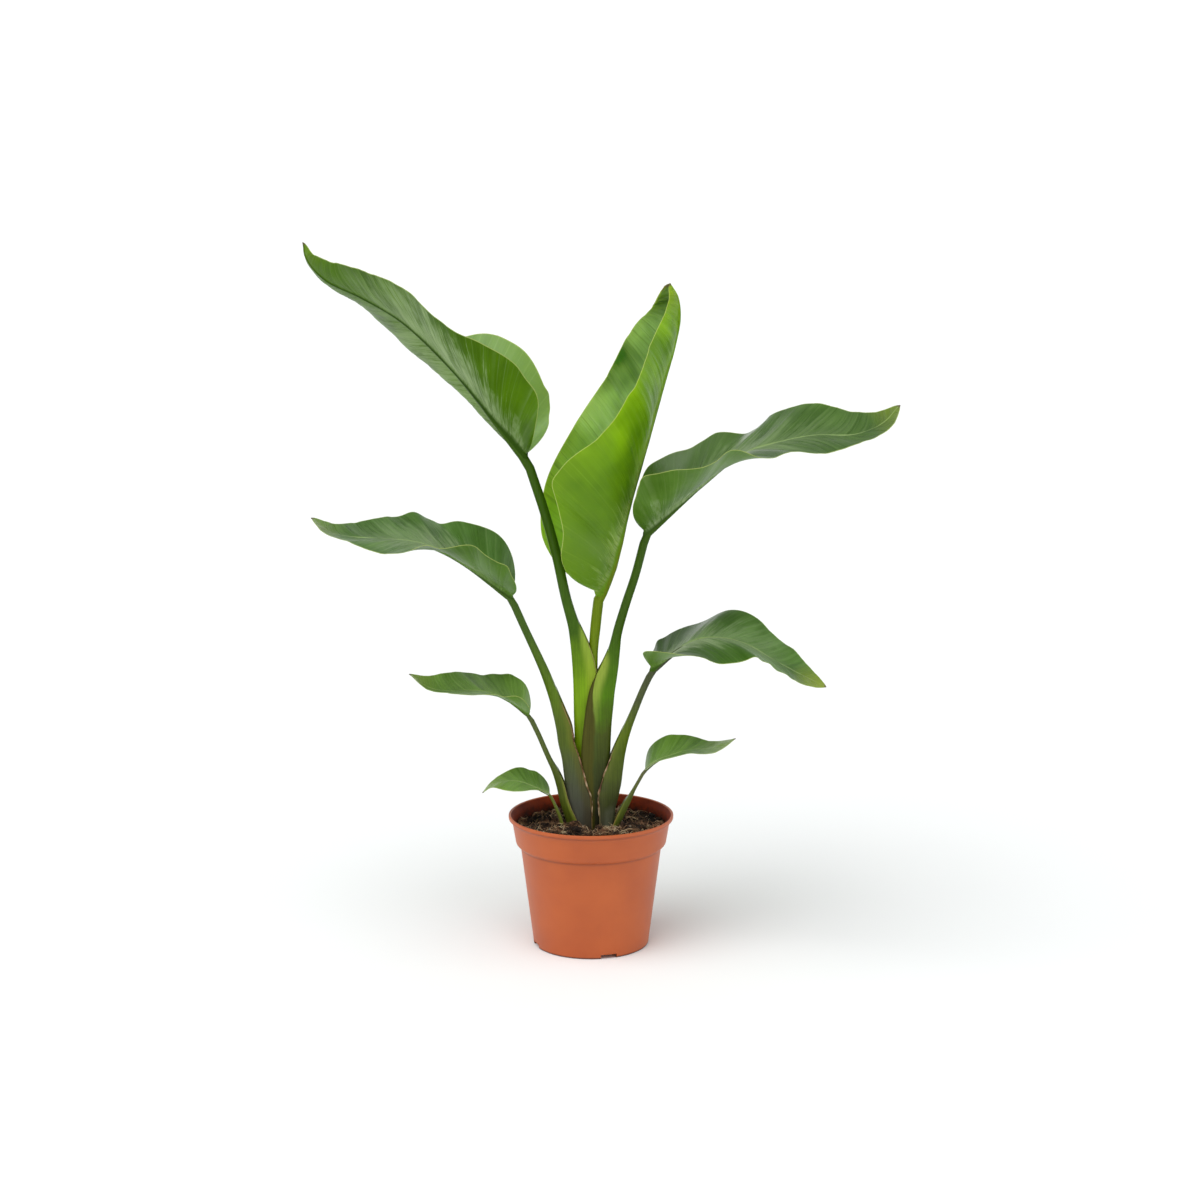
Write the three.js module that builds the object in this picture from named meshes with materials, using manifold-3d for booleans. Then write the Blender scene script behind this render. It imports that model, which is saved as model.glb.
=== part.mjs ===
// A young bird of paradise in a plain nursery pot: eight leaves in a flat fan, their stalks clasping
// one another at the foot, a short rootstock with fleshy roots, potting soil and a round plastic pot.
// Millimetres, +Z up. The plant is drawn round the pot's axis with the fan in the XZ plane; the
// finished group is moved so that the middle of its bounding box stands over the origin.
import * as THREE from 'three';
import { mergeVertices } from 'three/addons/utils/BufferGeometryUtils.js';
import Module from 'manifold-3d';

const wasm = await Module();
wasm.setup();

// Clearance between pieces that touch on the real plant, and how near corners are that are one.
const GAP = 0.35;
const MERGE = 1e-4;

// Pot: a thin tapered shell with a wide band under its lip, standing on a foot ring.
const RIM_RADIUS = 85;
const POT_HEIGHT = 137;
const LIP_HEIGHT = 7;
const LIP_FLARE = 3.6;
const LIP_WIDTH = 2.2;
const BAND_TOP_RADIUS = 81.3;
const BAND_FOOT_RADIUS = 77.5;
const BAND_FOOT_Z = 107.5;
const STEP_HEIGHT = 4;
const BODY_TOP_RADIUS = 72.7;
const FOOT_RADIUS = 59.6;
const FOOT_WIDTH = 3;
const WALL = 1.8;
const EDGE = 0.9;
const PLATE_Z = 3.4;
const NOTCH_WIDTH = 17;
const NOTCH_DEPTH = 16;
const NOTCH_HEIGHT = 3.6;
const NOTCH_ANGLE = 18;
const NOTCHES = 4;
const DRAIN_RADIUS = 5;
const DRAIN_SHARE = 0.75;
const DRAIN_SIDES = 12;
const POT_SIDES = 40;

// Soil: fills the pot to a little under the lip and is heaped slightly round the stems.
const SOIL_Z = 124;
const SOIL_HEAP = 3;

// Rootstock: a short stub that the leaf bases stand on, with fleshy roots going down from it.
const CROWN_TOP_Z = 108 - GAP;
const CROWN_HEIGHT = 24;
const CROWN_HALF_LENGTH = 33;
const CROWN_HALF_WIDTH = 12;
const CROWN_PROFILE = [[0, 1], [0.25, 1.02], [0.7, 0.8], [1, 0.35]];
const ROOT_RADIUS = 2.6;
const ROOT_TAPER = 0.45;
const ROOT_START = { length: 17, width: 5, depth: 14 };
const ROOT_COURSE = [{ reach: 0.5, turn: 0.2, z: 72 }, { reach: 0.9, turn: 0.5, z: 46 }];
const ROOT_END_Z = 22;
const ROOTS = 6;
const ROOT_SIDES = 6;
const ROOT_STEPS = 5;

// Leaves: thickness of the blades, and how far each stalk runs on into the ridge below its blade.
const BLADE_THICKNESS = 0.8;
const RUN_IN = 9;
const RIDGE_TAPER = 0.8;
const STALK_SIDES = 14;

const PLASTIC = { color: 0xb8623c, roughness: 0.5, metalness: 0 };
const SOIL = { color: 0x33261d, roughness: 1, metalness: 0 };
const ROOT = { color: 0xc9a878, roughness: 0.8, metalness: 0 };
const LEAF = { color: 0x4a7434, roughness: 0.45, metalness: 0 };
const YOUNG_LEAF = { color: 0x6f9a2e, roughness: 0.4, metalness: 0 };

// The leaves, oldest last. side is -1 for a leaf that leans to -X and 1 for one that leans to +X.
// midrib holds points along the blade from its foot to its tip. near is the half towards -Y and far
// the half towards +Y: width is its greatest width, foot and margin are the degrees that it rises
// from level beside the midrib and at its margin, at seven even stations from foot to tip, and turn
// is how soon it bends from the one to the other. lobe is how far its lobe reaches back.
// stalk rows run up from the rootstock: x and z of the middle, width in the plane of the fan, half
// of its depth, and how round its inner side is, from 0 for a flat clasping sheath to 1.
const LEAVES = [
  {
    name: 'leaf_1', side: -1, ridge: 4.4, rows: 19, columns: 4,
    midrib: [[-66, 0, 509], [-91, 4, 539], [-137, 11, 594], [-189, 18, 642], [-229, 22, 665],
      [-266, 23, 683], [-283, 22, 703], [-286, 20, 719]],
    near: {
      width: 90, lobe: 0.03, turn: 1,
      foot: [13, 31, 20, 12, 17, 21, 25], margin: [37, 55, 40, 28, 33, 41, 45],
    },
    far: {
      width: 106, lobe: 0.03, turn: 2,
      foot: [-30, -55, -60, -50, -38, -24, -20], margin: [75, 100, 75, 20, 2, -2, -8],
    },
    stalk: [[-2.5, 108, 21, 6, 0.1], [-3, 150, 24, 6.3, 0.1], [-3.2, 200, 26.5, 6.4, 0.1],
      [-4, 240, 27, 6.5, 0.1], [-5, 270, 26, 6.6, 0.1], [-6.5, 288, 24.5, 6.3, 0.1],
      [-9.2, 305, 21.5, 6.2, 0.1], [-13.5, 322, 16.5, 6, 0.25], [-18.2, 338, 12, 5.6, 0.6],
      [-25, 362, 10.5, 5.2, 1], [-34.5, 406, 10, 5, 1], [-45.5, 447, 9.8, 4.9, 1],
      [-61, 495, 9.4, 4.7, 1]],
  },
  {
    name: 'leaf_2', side: 1, ridge: 4.6, rows: 19, columns: 4,
    midrib: [[9, 0, 369], [21, 2, 397], [40, 4, 467], [57, 4, 526], [72, 4, 579], [83, 3, 618],
      [88, 2, 645], [86, 1, 665], [78, 0, 679]],
    near: {
      width: 95, lobe: 0.045, turn: 1,
      foot: [30, 22, 36, 16, 10, 16, 21], margin: [70, 62, 76, 48, 34, 40, 41],
    },
    far: {
      width: 95, lobe: 0.045, turn: 1,
      foot: [60, 52, 43, 37, 35, 47, 60], margin: [84, 80, 75, 65, 55, 67, 80],
    },
    stalk: [[1, 108, 9, 4.6, 1], [1, 150, 9.4, 4.8, 1], [1, 200, 9.6, 4.8, 1],
      [1.5, 250, 9.6, 4.8, 1], [2.5, 305, 9.4, 4.7, 1], [5, 336, 10.6, 5, 1], [7.8, 361, 10.6, 5, 1]],
  },
  {
    name: 'leaf_3', side: 1, ridge: 3.8, rows: 19, columns: 4,
    midrib: [[56, 0, 431], [77, -2, 450], [110, -5, 479], [149, -9, 510], [184, -12, 522],
      [223, -15, 530], [263, -16, 531], [290, -16, 542], [307, -15, 560]],
    near: {
      width: 80, lobe: 0.03, turn: 1,
      foot: [28, 25, 12, 3, -3, 0, -13], margin: [48, 49, 16, -7, -17, -10, -23],
    },
    far: {
      width: 80, lobe: 0.03, turn: 1,
      foot: [30, 23, 12, 7, 18, 22, 21], margin: [46, 43, 22, 7, 32, 32, 27],
    },
    stalk: [[4.5, 108, 27, 9.4, 0.1], [4.5, 150, 29, 9.8, 0.1], [5, 200, 30, 9.8, 0.1],
      [5.8, 217, 29.5, 9.7, 0.1], [7.2, 234, 28.5, 9.3, 0.1], [9, 250, 28, 8.8, 0.1],
      [11.2, 265, 26.5, 8.2, 0.1], [16, 282, 22, 7.4, 0.1], [19.8, 294, 17.5, 6.4, 0.2],
      [23.8, 310, 12.3, 5.6, 0.6], [26.5, 325, 9.8, 5, 1], [34.3, 353, 9, 4.7, 1],
      [45.5, 388, 8.6, 4.4, 1], [53.5, 419, 8.6, 4.3, 1]],
  },
  {
    name: 'leaf_4', side: -1, ridge: 3.4, rows: 16, columns: 3,
    midrib: [[-81, 0, 365], [-110, -3, 387], [-145, -7, 410], [-176, -10, 422], [-212, -13, 426],
      [-242, -14, 428], [-262, -14, 433], [-280, -13, 447]],
    near: {
      width: 66, lobe: 0.03, turn: 1,
      foot: [17, 20, 19, 7, 0, 6, 0], margin: [33, 36, 19, -5, -14, 0, -8],
    },
    far: {
      width: 66, lobe: 0.03, turn: 1,
      foot: [20, 29, 18, 14, 12, 10, 10], margin: [28, 45, 30, 14, 20, 16, 16],
    },
    stalk: [[-9, 108, 22, 10.8, 0.1], [-10.8, 135, 24.5, 11.2, 0.1], [-13, 156, 26, 11.2, 0.1],
      [-16, 170, 22, 10.9, 0.1], [-18.2, 183, 20.5, 10.7, 0.1], [-21.2, 198, 18.5, 10.2, 0.1],
      [-25.5, 214, 17, 9.4, 0.1], [-27.2, 226, 16.8, 8.8, 0.1], [-32, 243, 14, 8, 0.1],
      [-38.2, 262, 11, 6.6, 0.4], [-46.5, 285, 9.6, 5.2, 1], [-52.5, 299, 8.8, 4.6, 1],
      [-67, 331, 7.8, 4.2, 1], [-77.5, 355, 7.8, 4, 1]],
  },
  {
    name: 'leaf_5', side: 1, ridge: 3.2, rows: 16, columns: 3,
    midrib: [[63, 0, 290], [86, 2, 308], [108, 5, 319], [134, 8, 320], [159, 11, 313],
      [188, 13, 296], [215, 14, 281], [242, 13, 268]],
    near: {
      width: 58, lobe: 0.06, turn: 1,
      foot: [35, 3, -8, -2, 6, -2, -10], margin: [55, -1, -24, -14, -2, -14, -22],
    },
    far: {
      width: 58, lobe: 0.03, turn: 1,
      foot: [12, 12, 8, 23, 20, 21, 17], margin: [8, 6, 2, 27, 24, 23, 17],
    },
    stalk: [[16, 108, 14, 8.8, 0.1], [16.8, 142, 16.5, 9, 0.1], [18.5, 158, 21, 9, 0.1],
      [20.5, 168, 21, 8.4, 0.1], [24.5, 185, 17.5, 7.2, 0.1], [28, 200, 14.5, 6.6, 0.15],
      [36, 224, 9.6, 5.6, 0.5], [45, 247, 7.6, 4.4, 1], [53.5, 268, 7, 3.9, 1],
      [59.5, 281, 7, 3.8, 1]],
  },
  {
    name: 'leaf_6', side: -1, ridge: 2, rows: 12, columns: 3,
    midrib: [[-64, 0, 242], [-83, 1, 256], [-103, 3, 264], [-126, 5, 266], [-148, 6, 265],
      [-167, 6, 269], [-186, 6, 283]],
    near: {
      width: 38, lobe: 0.03, turn: 1,
      foot: [19, 19, 9, 8, 11, 8, 6], margin: [29, 33, 9, 2, 7, 4, 6],
    },
    far: {
      width: 38, lobe: 0.03, turn: 1,
      foot: [11, 26, 17, 14, 24, 23, 6], margin: [19, 38, 23, 20, 32, 31, 8],
    },
    stalk: [[-18.5, 108, 11, 9.6, 0.1], [-20, 129, 12, 9.8, 0.1], [-24.5, 142, 10.4, 9.2, 0.1],
      [-28, 153, 9.6, 8.2, 0.1], [-31.5, 168, 9, 7, 0.15], [-37, 183, 7, 5, 0.5],
      [-43.3, 196, 4.8, 3.2, 1], [-53.5, 220, 4.6, 2.6, 1], [-60.5, 235, 4.6, 2.5, 1]],
  },
  {
    name: 'leaf_7', side: 1, ridge: 1.6, rows: 12, columns: 3,
    midrib: [[56, 0, 184], [67, -1, 193], [83, -3, 200], [102, -5, 206], [124, -6, 208],
      [148, -6, 218]],
    near: {
      width: 30, lobe: 0.03, turn: 1,
      foot: [6, 7, 9, 8, 4, 0, 0], margin: [14, 15, 9, 2, -2, -6, -4],
    },
    far: {
      width: 30, lobe: 0.03, turn: 1,
      foot: [4, 22, 25, 13, 7, 2, -4], margin: [12, 32, 34, 22, 11, 2, -12],
    },
    stalk: [[23.8, 108, 7, 5.6, 0.2], [26, 124, 7, 5.8, 0.2], [30.5, 135, 7.4, 5.6, 0.2],
      [35.2, 145, 7, 5, 0.3], [40, 154, 5.4, 4, 0.6], [44.5, 163, 3.8, 2.6, 1],
      [50, 173, 3.5, 2.1, 1], [53, 178.5, 3.5, 2, 1]],
  },
  {
    name: 'leaf_8', side: -1, ridge: 1.4, rows: 12, columns: 3,
    midrib: [[-43, 0, 158], [-58, 0, 165], [-74, 0, 171], [-89, 0, 171], [-103, 0, 166],
      [-112, 0, 159]],
    near: {
      width: 24, lobe: 0.03, turn: 1,
      foot: [4, 10, -1, -8, -8, 3, 3], margin: [8, 14, -7, -18, -16, 7, 7],
    },
    far: {
      width: 24, lobe: 0.03, turn: 1,
      foot: [8, 20, 24, 18, 10, 6, 2], margin: [16, 28, 33, 28, 16, 10, 2],
    },
    stalk: [[-29, 108, 5, 4, 0.3], [-29.5, 122, 5, 4.2, 0.3], [-32, 133, 4.8, 4, 0.4],
      [-35.5, 142, 4.2, 3.2, 0.7], [-38.5, 149, 3.6, 2.5, 1], [-41, 154, 3.4, 2.1, 1]],
  },
];

// Leaves from the outermost sheath to the innermost stalk. Each is hollowed by those after it.
const NESTING = ['leaf_8', 'leaf_7', 'leaf_6', 'leaf_5', 'leaf_4', 'leaf_3', 'leaf_1', 'leaf_2'];

// Shares of the flat blade's outline: how blunt its foot and tip are, and how the veins sweep on.
const FOOT_POWER = 0.42;
const TIP_POWER = 0.75;
const VEIN_SWEEP = 1.3;
const VEIN_ARCH = 1.4;
const LOBE_SPAN = 0.25;
const BEND_STEPS = 12;
const FIRST_ROW = 0.012;
const LAST_ROW = 0.985;

// Value at share s of the way along evenly spaced values, joined by a smooth curve.
function along(values, s) {
  const last = values.length - 1;
  const x = THREE.MathUtils.clamp(s, 0, 1) * last;
  const i = Math.min(Math.floor(x), last - 1);
  const w = x - i;
  const b = values[i];
  const c = values[i + 1];
  const a = i > 0 ? values[i - 1] : 2 * b - c;
  const d = i < last - 1 ? values[i + 2] : 2 * c - b;
  return b + 0.5 * w * (c - a + w * (2 * a - 5 * b + 4 * c - d + w * (3 * (b - c) + d - a)));
}

// Solid from rings of points, each ring the same length, closed by a fan over the first and last.
function loft(rings) {
  const n = rings[0].length;
  const positions = rings.flat().flatMap((p) => [p.x, p.y, p.z]);
  const index = [];
  for (let i = 0; i < rings.length - 1; i++) {
    for (let j = 0; j < n; j++) {
      const a = i * n + j;
      const b = i * n + ((j + 1) % n);
      index.push(a, b, b + n, a, b + n, a + n);
    }
  }
  const end = (rings.length - 1) * n;
  for (let j = 1; j < n - 1; j++) {
    index.push(0, j + 1, j, end, end + j, end + j + 1);
  }
  return outward(positions, index);
}

// Geometry with its faces turned so that they point out of the solid.
function outward(positions, index) {
  let volume = 0;
  const p = [0, 1, 2].map(() => new THREE.Vector3());
  for (let i = 0; i < index.length; i += 3) {
    p.forEach((v, k) => v.fromArray(positions, 3 * index[i + k]));
    volume += p[0].dot(p[1].cross(p[2]));
  }
  const turned = volume > 0 ? index : index.toReversed();
  const geometry = new THREE.BufferGeometry();
  geometry.setAttribute('position', new THREE.Float32BufferAttribute(positions, 3));
  geometry.setIndex(turned);
  return geometry;
}

function toSolid(geometry) {
  const bare = geometry.clone();
  bare.deleteAttribute('normal');
  bare.deleteAttribute('uv');
  const merged = mergeVertices(bare, MERGE);
  return new wasm.Manifold(new wasm.Mesh({
    numProp: 3,
    vertProperties: new Float32Array(merged.attributes.position.array),
    triVerts: new Uint32Array(merged.index.array),
  }));
}

// The largest single body of a solid, back as a geometry.
function toGeometry(solid) {
  const bodies = solid.decompose();
  bodies.sort((a, b) => b.volume() - a.volume());
  const mesh = bodies[0].getMesh();
  const geometry = new THREE.BufferGeometry();
  geometry.setAttribute('position', new THREE.Float32BufferAttribute(mesh.vertProperties, 3));
  geometry.setIndex(Array.from(mesh.triVerts));
  geometry.computeVertexNormals();
  return geometry;
}

// Place and axes of a blade at share s of its midrib: along it, across it to +Y, and up from it.
function midribFrame(leaf, s) {
  const at = THREE.MathUtils.clamp(s, 0, 1);
  const tangent = leaf.curve.getTangentAt(at);
  const across = new THREE.Vector3(0, 1, 0).addScaledVector(tangent, -tangent.y).normalize();
  const up = across.clone().cross(tangent).multiplyScalar(-leaf.side);
  return { point: leaf.curve.getPointAt(at), tangent, across, up };
}

// Share along the midrib and share of the full width, for a point on the flat blade.
function flatPoint(half, t, v) {
  const xi = (1 - Math.cos(Math.PI * t)) / 2;
  const peak = (FOOT_POWER + TIP_POWER) ** (FOOT_POWER + TIP_POWER)
    / (FOOT_POWER ** FOOT_POWER * TIP_POWER ** TIP_POWER);
  const margin = xi - half.lobe * Math.sin(Math.PI * Math.min(xi / LOBE_SPAN, 1));
  const start = xi ** VEIN_SWEEP;
  return {
    x: start + (margin - start) * v ** VEIN_ARCH,
    y: peak * xi ** FOOT_POWER * (1 - xi) ** TIP_POWER,
    margin,
  };
}

// Point on the middle surface of a blade. t runs from foot to tip and v from midrib to margin.
function bladePoint(leaf, half, sign, t, v) {
  const flat = flatPoint(half, t, v);
  const foot = along(half.foot, flat.margin);
  const rise = along(half.margin, flat.margin) - foot;
  let side = 0;
  let up = 0;
  for (let i = 0; i < BEND_STEPS; i++) {
    const share = v * (i + 0.5) / BEND_STEPS;
    const angle = THREE.MathUtils.degToRad(foot + rise * (1 - (1 - share) ** half.turn));
    const step = half.width * flat.y * v / BEND_STEPS;
    side += step * Math.cos(angle);
    up += step * Math.sin(angle);
  }
  const frame = midribFrame(leaf, flat.x);
  return frame.point
    .addScaledVector(frame.tangent, Math.min(flat.x, 0) * leaf.curve.getLength())
    .addScaledVector(frame.across, sign * side)
    .addScaledVector(frame.up, up);
}

// Unit normal of the upper face of a blade.
function bladeNormal(leaf, half, sign, t, v) {
  const e = 0.004;
  const ahead = bladePoint(leaf, half, sign, t + e, v).sub(bladePoint(leaf, half, sign, t - e, v));
  const outer = Math.min(v + e, 1);
  const inner = outer - 2 * e;
  const out = bladePoint(leaf, half, sign, t, outer).sub(bladePoint(leaf, half, sign, t, inner));
  return out.cross(ahead).multiplyScalar(sign * leaf.side).normalize();
}

// A thin sheet with a ridge below its midrib. Both faces are split into triangles alike.
function bladeGeometry(leaf) {
  const upper = [];
  const lower = [];
  for (let i = 0; i < leaf.rows; i++) {
    const t = FIRST_ROW + (LAST_ROW - FIRST_ROW) * i / (leaf.rows - 1);
    const s = flatPoint(leaf.near, t, 0).x;
    const topRow = [];
    const bottomRow = [];
    for (const [half, sign] of [[leaf.near, -1], [leaf.far, 1]]) {
      const wide = half.width * flatPoint(half, t, 1).y;
      const ridge = leaf.ridge * (1 - RIDGE_TAPER * s);
      const edge = Math.min(ridge / wide, 0.5);
      const shares = [0.55 * edge, edge];
      for (let k = 1; k <= leaf.columns; k++) {
        shares.push(edge + (1 - edge) * k / leaf.columns);
      }
      const top = [];
      const bottom = [];
      for (const v of shares) {
        const point = bladePoint(leaf, half, sign, t, v);
        const normal = bladeNormal(leaf, half, sign, t, v);
        const depth = v < edge ? ridge * Math.sqrt(1 - (v / edge) ** 2) : 0;
        top.push(point.clone().addScaledVector(normal, BLADE_THICKNESS / 2));
        bottom.push(point.clone().addScaledVector(normal, -BLADE_THICKNESS / 2 - depth));
      }
      if (sign < 0) {
        topRow.push(...top.reverse());
        bottomRow.push(...bottom.reverse());
        const normal = bladeNormal(leaf, leaf.near, -1, t, 0.01)
          .add(bladeNormal(leaf, leaf.far, 1, t, 0.01)).normalize();
        const middle = bladePoint(leaf, leaf.near, -1, t, 0);
        topRow.push(middle.clone().addScaledVector(normal, BLADE_THICKNESS / 2));
        bottomRow.push(middle.addScaledVector(normal, -BLADE_THICKNESS / 2 - ridge));
      } else {
        topRow.push(...top);
        bottomRow.push(...bottom);
      }
    }
    upper.push(topRow);
    lower.push(bottomRow);
  }
  return sheet(upper, lower);
}

// Closed solid between two grids of points.
function sheet(upper, lower) {
  const rows = upper.length;
  const columns = upper[0].length;
  const positions = [...upper, ...lower].flat().flatMap((p) => [p.x, p.y, p.z]);
  const top = (i, j) => i * columns + j;
  const bottom = (i, j) => (rows + i) * columns + j;
  const index = [];
  for (let i = 0; i < rows - 1; i++) {
    for (let j = 0; j < columns - 1; j++) {
      index.push(top(i, j), top(i + 1, j), top(i + 1, j + 1));
      index.push(top(i, j), top(i + 1, j + 1), top(i, j + 1));
      index.push(bottom(i, j), bottom(i + 1, j + 1), bottom(i + 1, j));
      index.push(bottom(i, j), bottom(i, j + 1), bottom(i + 1, j + 1));
    }
    for (const [j, turn] of [[0, false], [columns - 1, true]]) {
      const wall = [top(i, j), bottom(i, j), bottom(i + 1, j), top(i + 1, j)];
      index.push(...quad(turn ? wall.reverse() : wall));
    }
  }
  for (let j = 0; j < columns - 1; j++) {
    for (const [i, turn] of [[0, false], [rows - 1, true]]) {
      const wall = [top(i, j), top(i, j + 1), bottom(i, j + 1), bottom(i, j)];
      index.push(...quad(turn ? wall.reverse() : wall));
    }
  }
  return outward(positions, index);
}

function quad([a, b, c, d]) {
  return [a, b, c, a, c, d];
}

// Rows of a stalk, from the rootstock to where it runs out in the ridge below the blade.
function stalkRows(leaf) {
  const rows = leaf.stalk.map(([x, z, width, depth, round]) => ({ x, z, width, depth, round }));
  for (const [share, drop, size] of [[0, 0.6, 1.8], [RUN_IN / leaf.curve.getLength(), 0.5, 0.9]]) {
    const { point, up, tangent } = midribFrame(leaf, share);
    point.addScaledVector(up, -drop * leaf.ridge);
    const width = size * leaf.ridge;
    rows.push({ x: point.x, z: point.z, y: point.y, width, depth: width / 2, round: 1, tangent });
  }
  return rows;
}

// Rings of a stalk. grow widens it all round, and open carries its +X side far out, so that the
// same shape cuts a channel that is open to +X.
function stalkRings(leaf, grow = 0, open = 0) {
  const rows = stalkRows(leaf);
  rows[0].z -= grow;
  return rows.map((row, i) => {
    const before = rows[Math.max(i - 1, 0)];
    const after = rows[Math.min(i + 1, rows.length - 1)];
    const run = row.tangent ?? { x: after.x - before.x, z: after.z - before.z };
    const slope = i > 0 ? Math.atan2(run.x, run.z) : 0;
    const out = new THREE.Vector3(Math.cos(slope), 0, -Math.sin(slope)).multiplyScalar(leaf.side);
    const inner = row.width / 2 * row.round;
    const outer = row.width - inner;
    const ring = [];
    for (let k = 0; k < STALK_SIDES; k++) {
      const angle = 2 * Math.PI * k / STALK_SIDES;
      const reach = Math.cos(angle) > 0 ? outer : inner;
      const across = inner - row.width / 2 + (reach + grow) * Math.cos(angle);
      const y = (row.y ?? 0) + (row.depth + grow) * Math.sin(angle);
      const point = new THREE.Vector3(row.x, y, row.z).addScaledVector(out, across);
      if (point.x > row.x) {
        point.x += open;
      }
      ring.push(point);
    }
    return ring;
  });
}

// One leaf: its blade, and its stalk with the stalks that it clasps cut out of it.
function leafGeometry(leaf) {
  let solid = toSolid(loft(stalkRings(leaf)));
  const inside = NESTING.slice(NESTING.indexOf(leaf.name) + 1);
  for (const other of LEAVES.filter(({ name }) => inside.includes(name))) {
    solid = solid.subtract(toSolid(loft(stalkRings(other, GAP))));
  }
  if (leaf.name === 'leaf_1') {
    const innermost = LEAVES.find(({ name }) => name === NESTING.at(-1));
    solid = solid.subtract(toSolid(loft(stalkRings(innermost, GAP, 2 * leaf.stalk[0][2]))));
  }
  return toGeometry(solid.add(toSolid(bladeGeometry(leaf))));
}

// Lathed solid from [radius, height] pairs.
function lathe(profile) {
  const points = profile.map(([r, z]) => new THREE.Vector2(r, z));
  const geometry = new THREE.LatheGeometry(points, POT_SIDES);
  geometry.rotateX(Math.PI / 2);
  geometry.deleteAttribute('normal');
  geometry.deleteAttribute('uv');
  const merged = mergeVertices(geometry, MERGE);
  return outward(Array.from(merged.attributes.position.array), withoutSlivers(merged));
}

// Triangles of a merged geometry that still have three different corners.
function withoutSlivers(geometry) {
  const index = [];
  const all = geometry.index.array;
  for (let i = 0; i < all.length; i += 3) {
    const [a, b, c] = [all[i], all[i + 1], all[i + 2]];
    if (a !== b && b !== c && c !== a) {
      index.push(a, b, c);
    }
  }
  return index;
}

// Radius of the pot's inner wall at a height, between the plate and the foot of the band.
function innerRadius(z) {
  return FOOT_RADIUS - WALL + (BODY_TOP_RADIUS - FOOT_RADIUS) * z / (BAND_FOOT_Z - STEP_HEIGHT);
}

function potGeometry() {
  const lipZ = POT_HEIGHT - LIP_HEIGHT;
  const bodyTopZ = BAND_FOOT_Z - STEP_HEIGHT;
  let pot = toSolid(lathe([
    [0, PLATE_Z], [FOOT_RADIUS - FOOT_WIDTH, PLATE_Z], [FOOT_RADIUS - FOOT_WIDTH, 0],
    [FOOT_RADIUS, 0], [BODY_TOP_RADIUS, bodyTopZ],
    [BODY_TOP_RADIUS + EDGE, bodyTopZ + EDGE], [BAND_FOOT_RADIUS - EDGE, BAND_FOOT_Z - EDGE],
    [BAND_FOOT_RADIUS, BAND_FOOT_Z], [BAND_TOP_RADIUS, lipZ], [RIM_RADIUS - LIP_WIDTH, lipZ + EDGE],
    [RIM_RADIUS, lipZ + LIP_FLARE], [RIM_RADIUS, POT_HEIGHT - EDGE], [RIM_RADIUS - EDGE, POT_HEIGHT],
    [RIM_RADIUS - LIP_WIDTH, POT_HEIGHT], [RIM_RADIUS - LIP_WIDTH - EDGE, lipZ + LIP_FLARE],
    [BAND_TOP_RADIUS - WALL, lipZ], [BAND_FOOT_RADIUS - WALL, BAND_FOOT_Z],
    [innerRadius(bodyTopZ), bodyTopZ], [innerRadius(PLATE_Z + WALL), PLATE_Z + WALL],
    [0, PLATE_Z + WALL],
  ]));
  for (let i = 0; i < NOTCHES; i++) {
    const angle = THREE.MathUtils.degToRad(NOTCH_ANGLE + 360 * i / NOTCHES);
    const notch = new THREE.BoxGeometry(NOTCH_DEPTH, NOTCH_WIDTH, 2 * NOTCH_HEIGHT);
    notch.translate(FOOT_RADIUS, 0, 0);
    notch.rotateZ(angle);
    const drain = new THREE.CylinderGeometry(DRAIN_RADIUS, DRAIN_RADIUS, 6 * WALL, DRAIN_SIDES);
    drain.rotateX(Math.PI / 2);
    drain.translate(DRAIN_SHARE * FOOT_RADIUS, 0, PLATE_Z);
    drain.rotateZ(angle);
    pot = pot.subtract(toSolid(notch)).subtract(toSolid(drain));
  }
  return toGeometry(pot);
}

// Stub and roots of the rootstock, as separate closed shapes. grow widens them all round.
function rootShapes(grow = 0) {
  const stub = CROWN_PROFILE.map(([share, scale]) => {
    const z = CROWN_TOP_Z - CROWN_HEIGHT * share + (share === 0 ? grow : -grow);
    const ring = [];
    for (let k = 0; k < 2 * STALK_SIDES; k++) {
      const angle = Math.PI * k / STALK_SIDES;
      const x = (CROWN_HALF_LENGTH * scale + grow) * Math.cos(angle);
      const y = (CROWN_HALF_WIDTH * scale + grow) * Math.sin(angle);
      ring.push(new THREE.Vector3(x, y, z));
    }
    return ring;
  });
  const shapes = [loft(stub)];
  for (let i = 0; i < ROOTS; i++) {
    shapes.push(loft(tubeRings(rootPath(i), ROOT_RADIUS, grow)));
  }
  return shapes;
}

// Course of one root: out and down from the stub, curling round the inside of the pot.
function rootPath(i) {
  const heading = 2 * Math.PI * (i + 0.4) / ROOTS;
  const spread = 22 + 6 * (i % 3);
  const start = new THREE.Vector3(
    ROOT_START.length * Math.cos(heading),
    ROOT_START.width * Math.sin(heading),
    CROWN_TOP_Z - ROOT_START.depth,
  );
  const end = { reach: 1, turn: 0.9, z: ROOT_END_Z - 3 * (i % 2) };
  const points = [...ROOT_COURSE, end].map(({ reach, turn, z }) => new THREE.Vector3(
    start.x + spread * reach * Math.cos(heading + turn),
    start.y + spread * reach * Math.sin(heading + turn),
    z,
  ));
  return new THREE.CatmullRomCurve3([start, ...points]);
}

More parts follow.
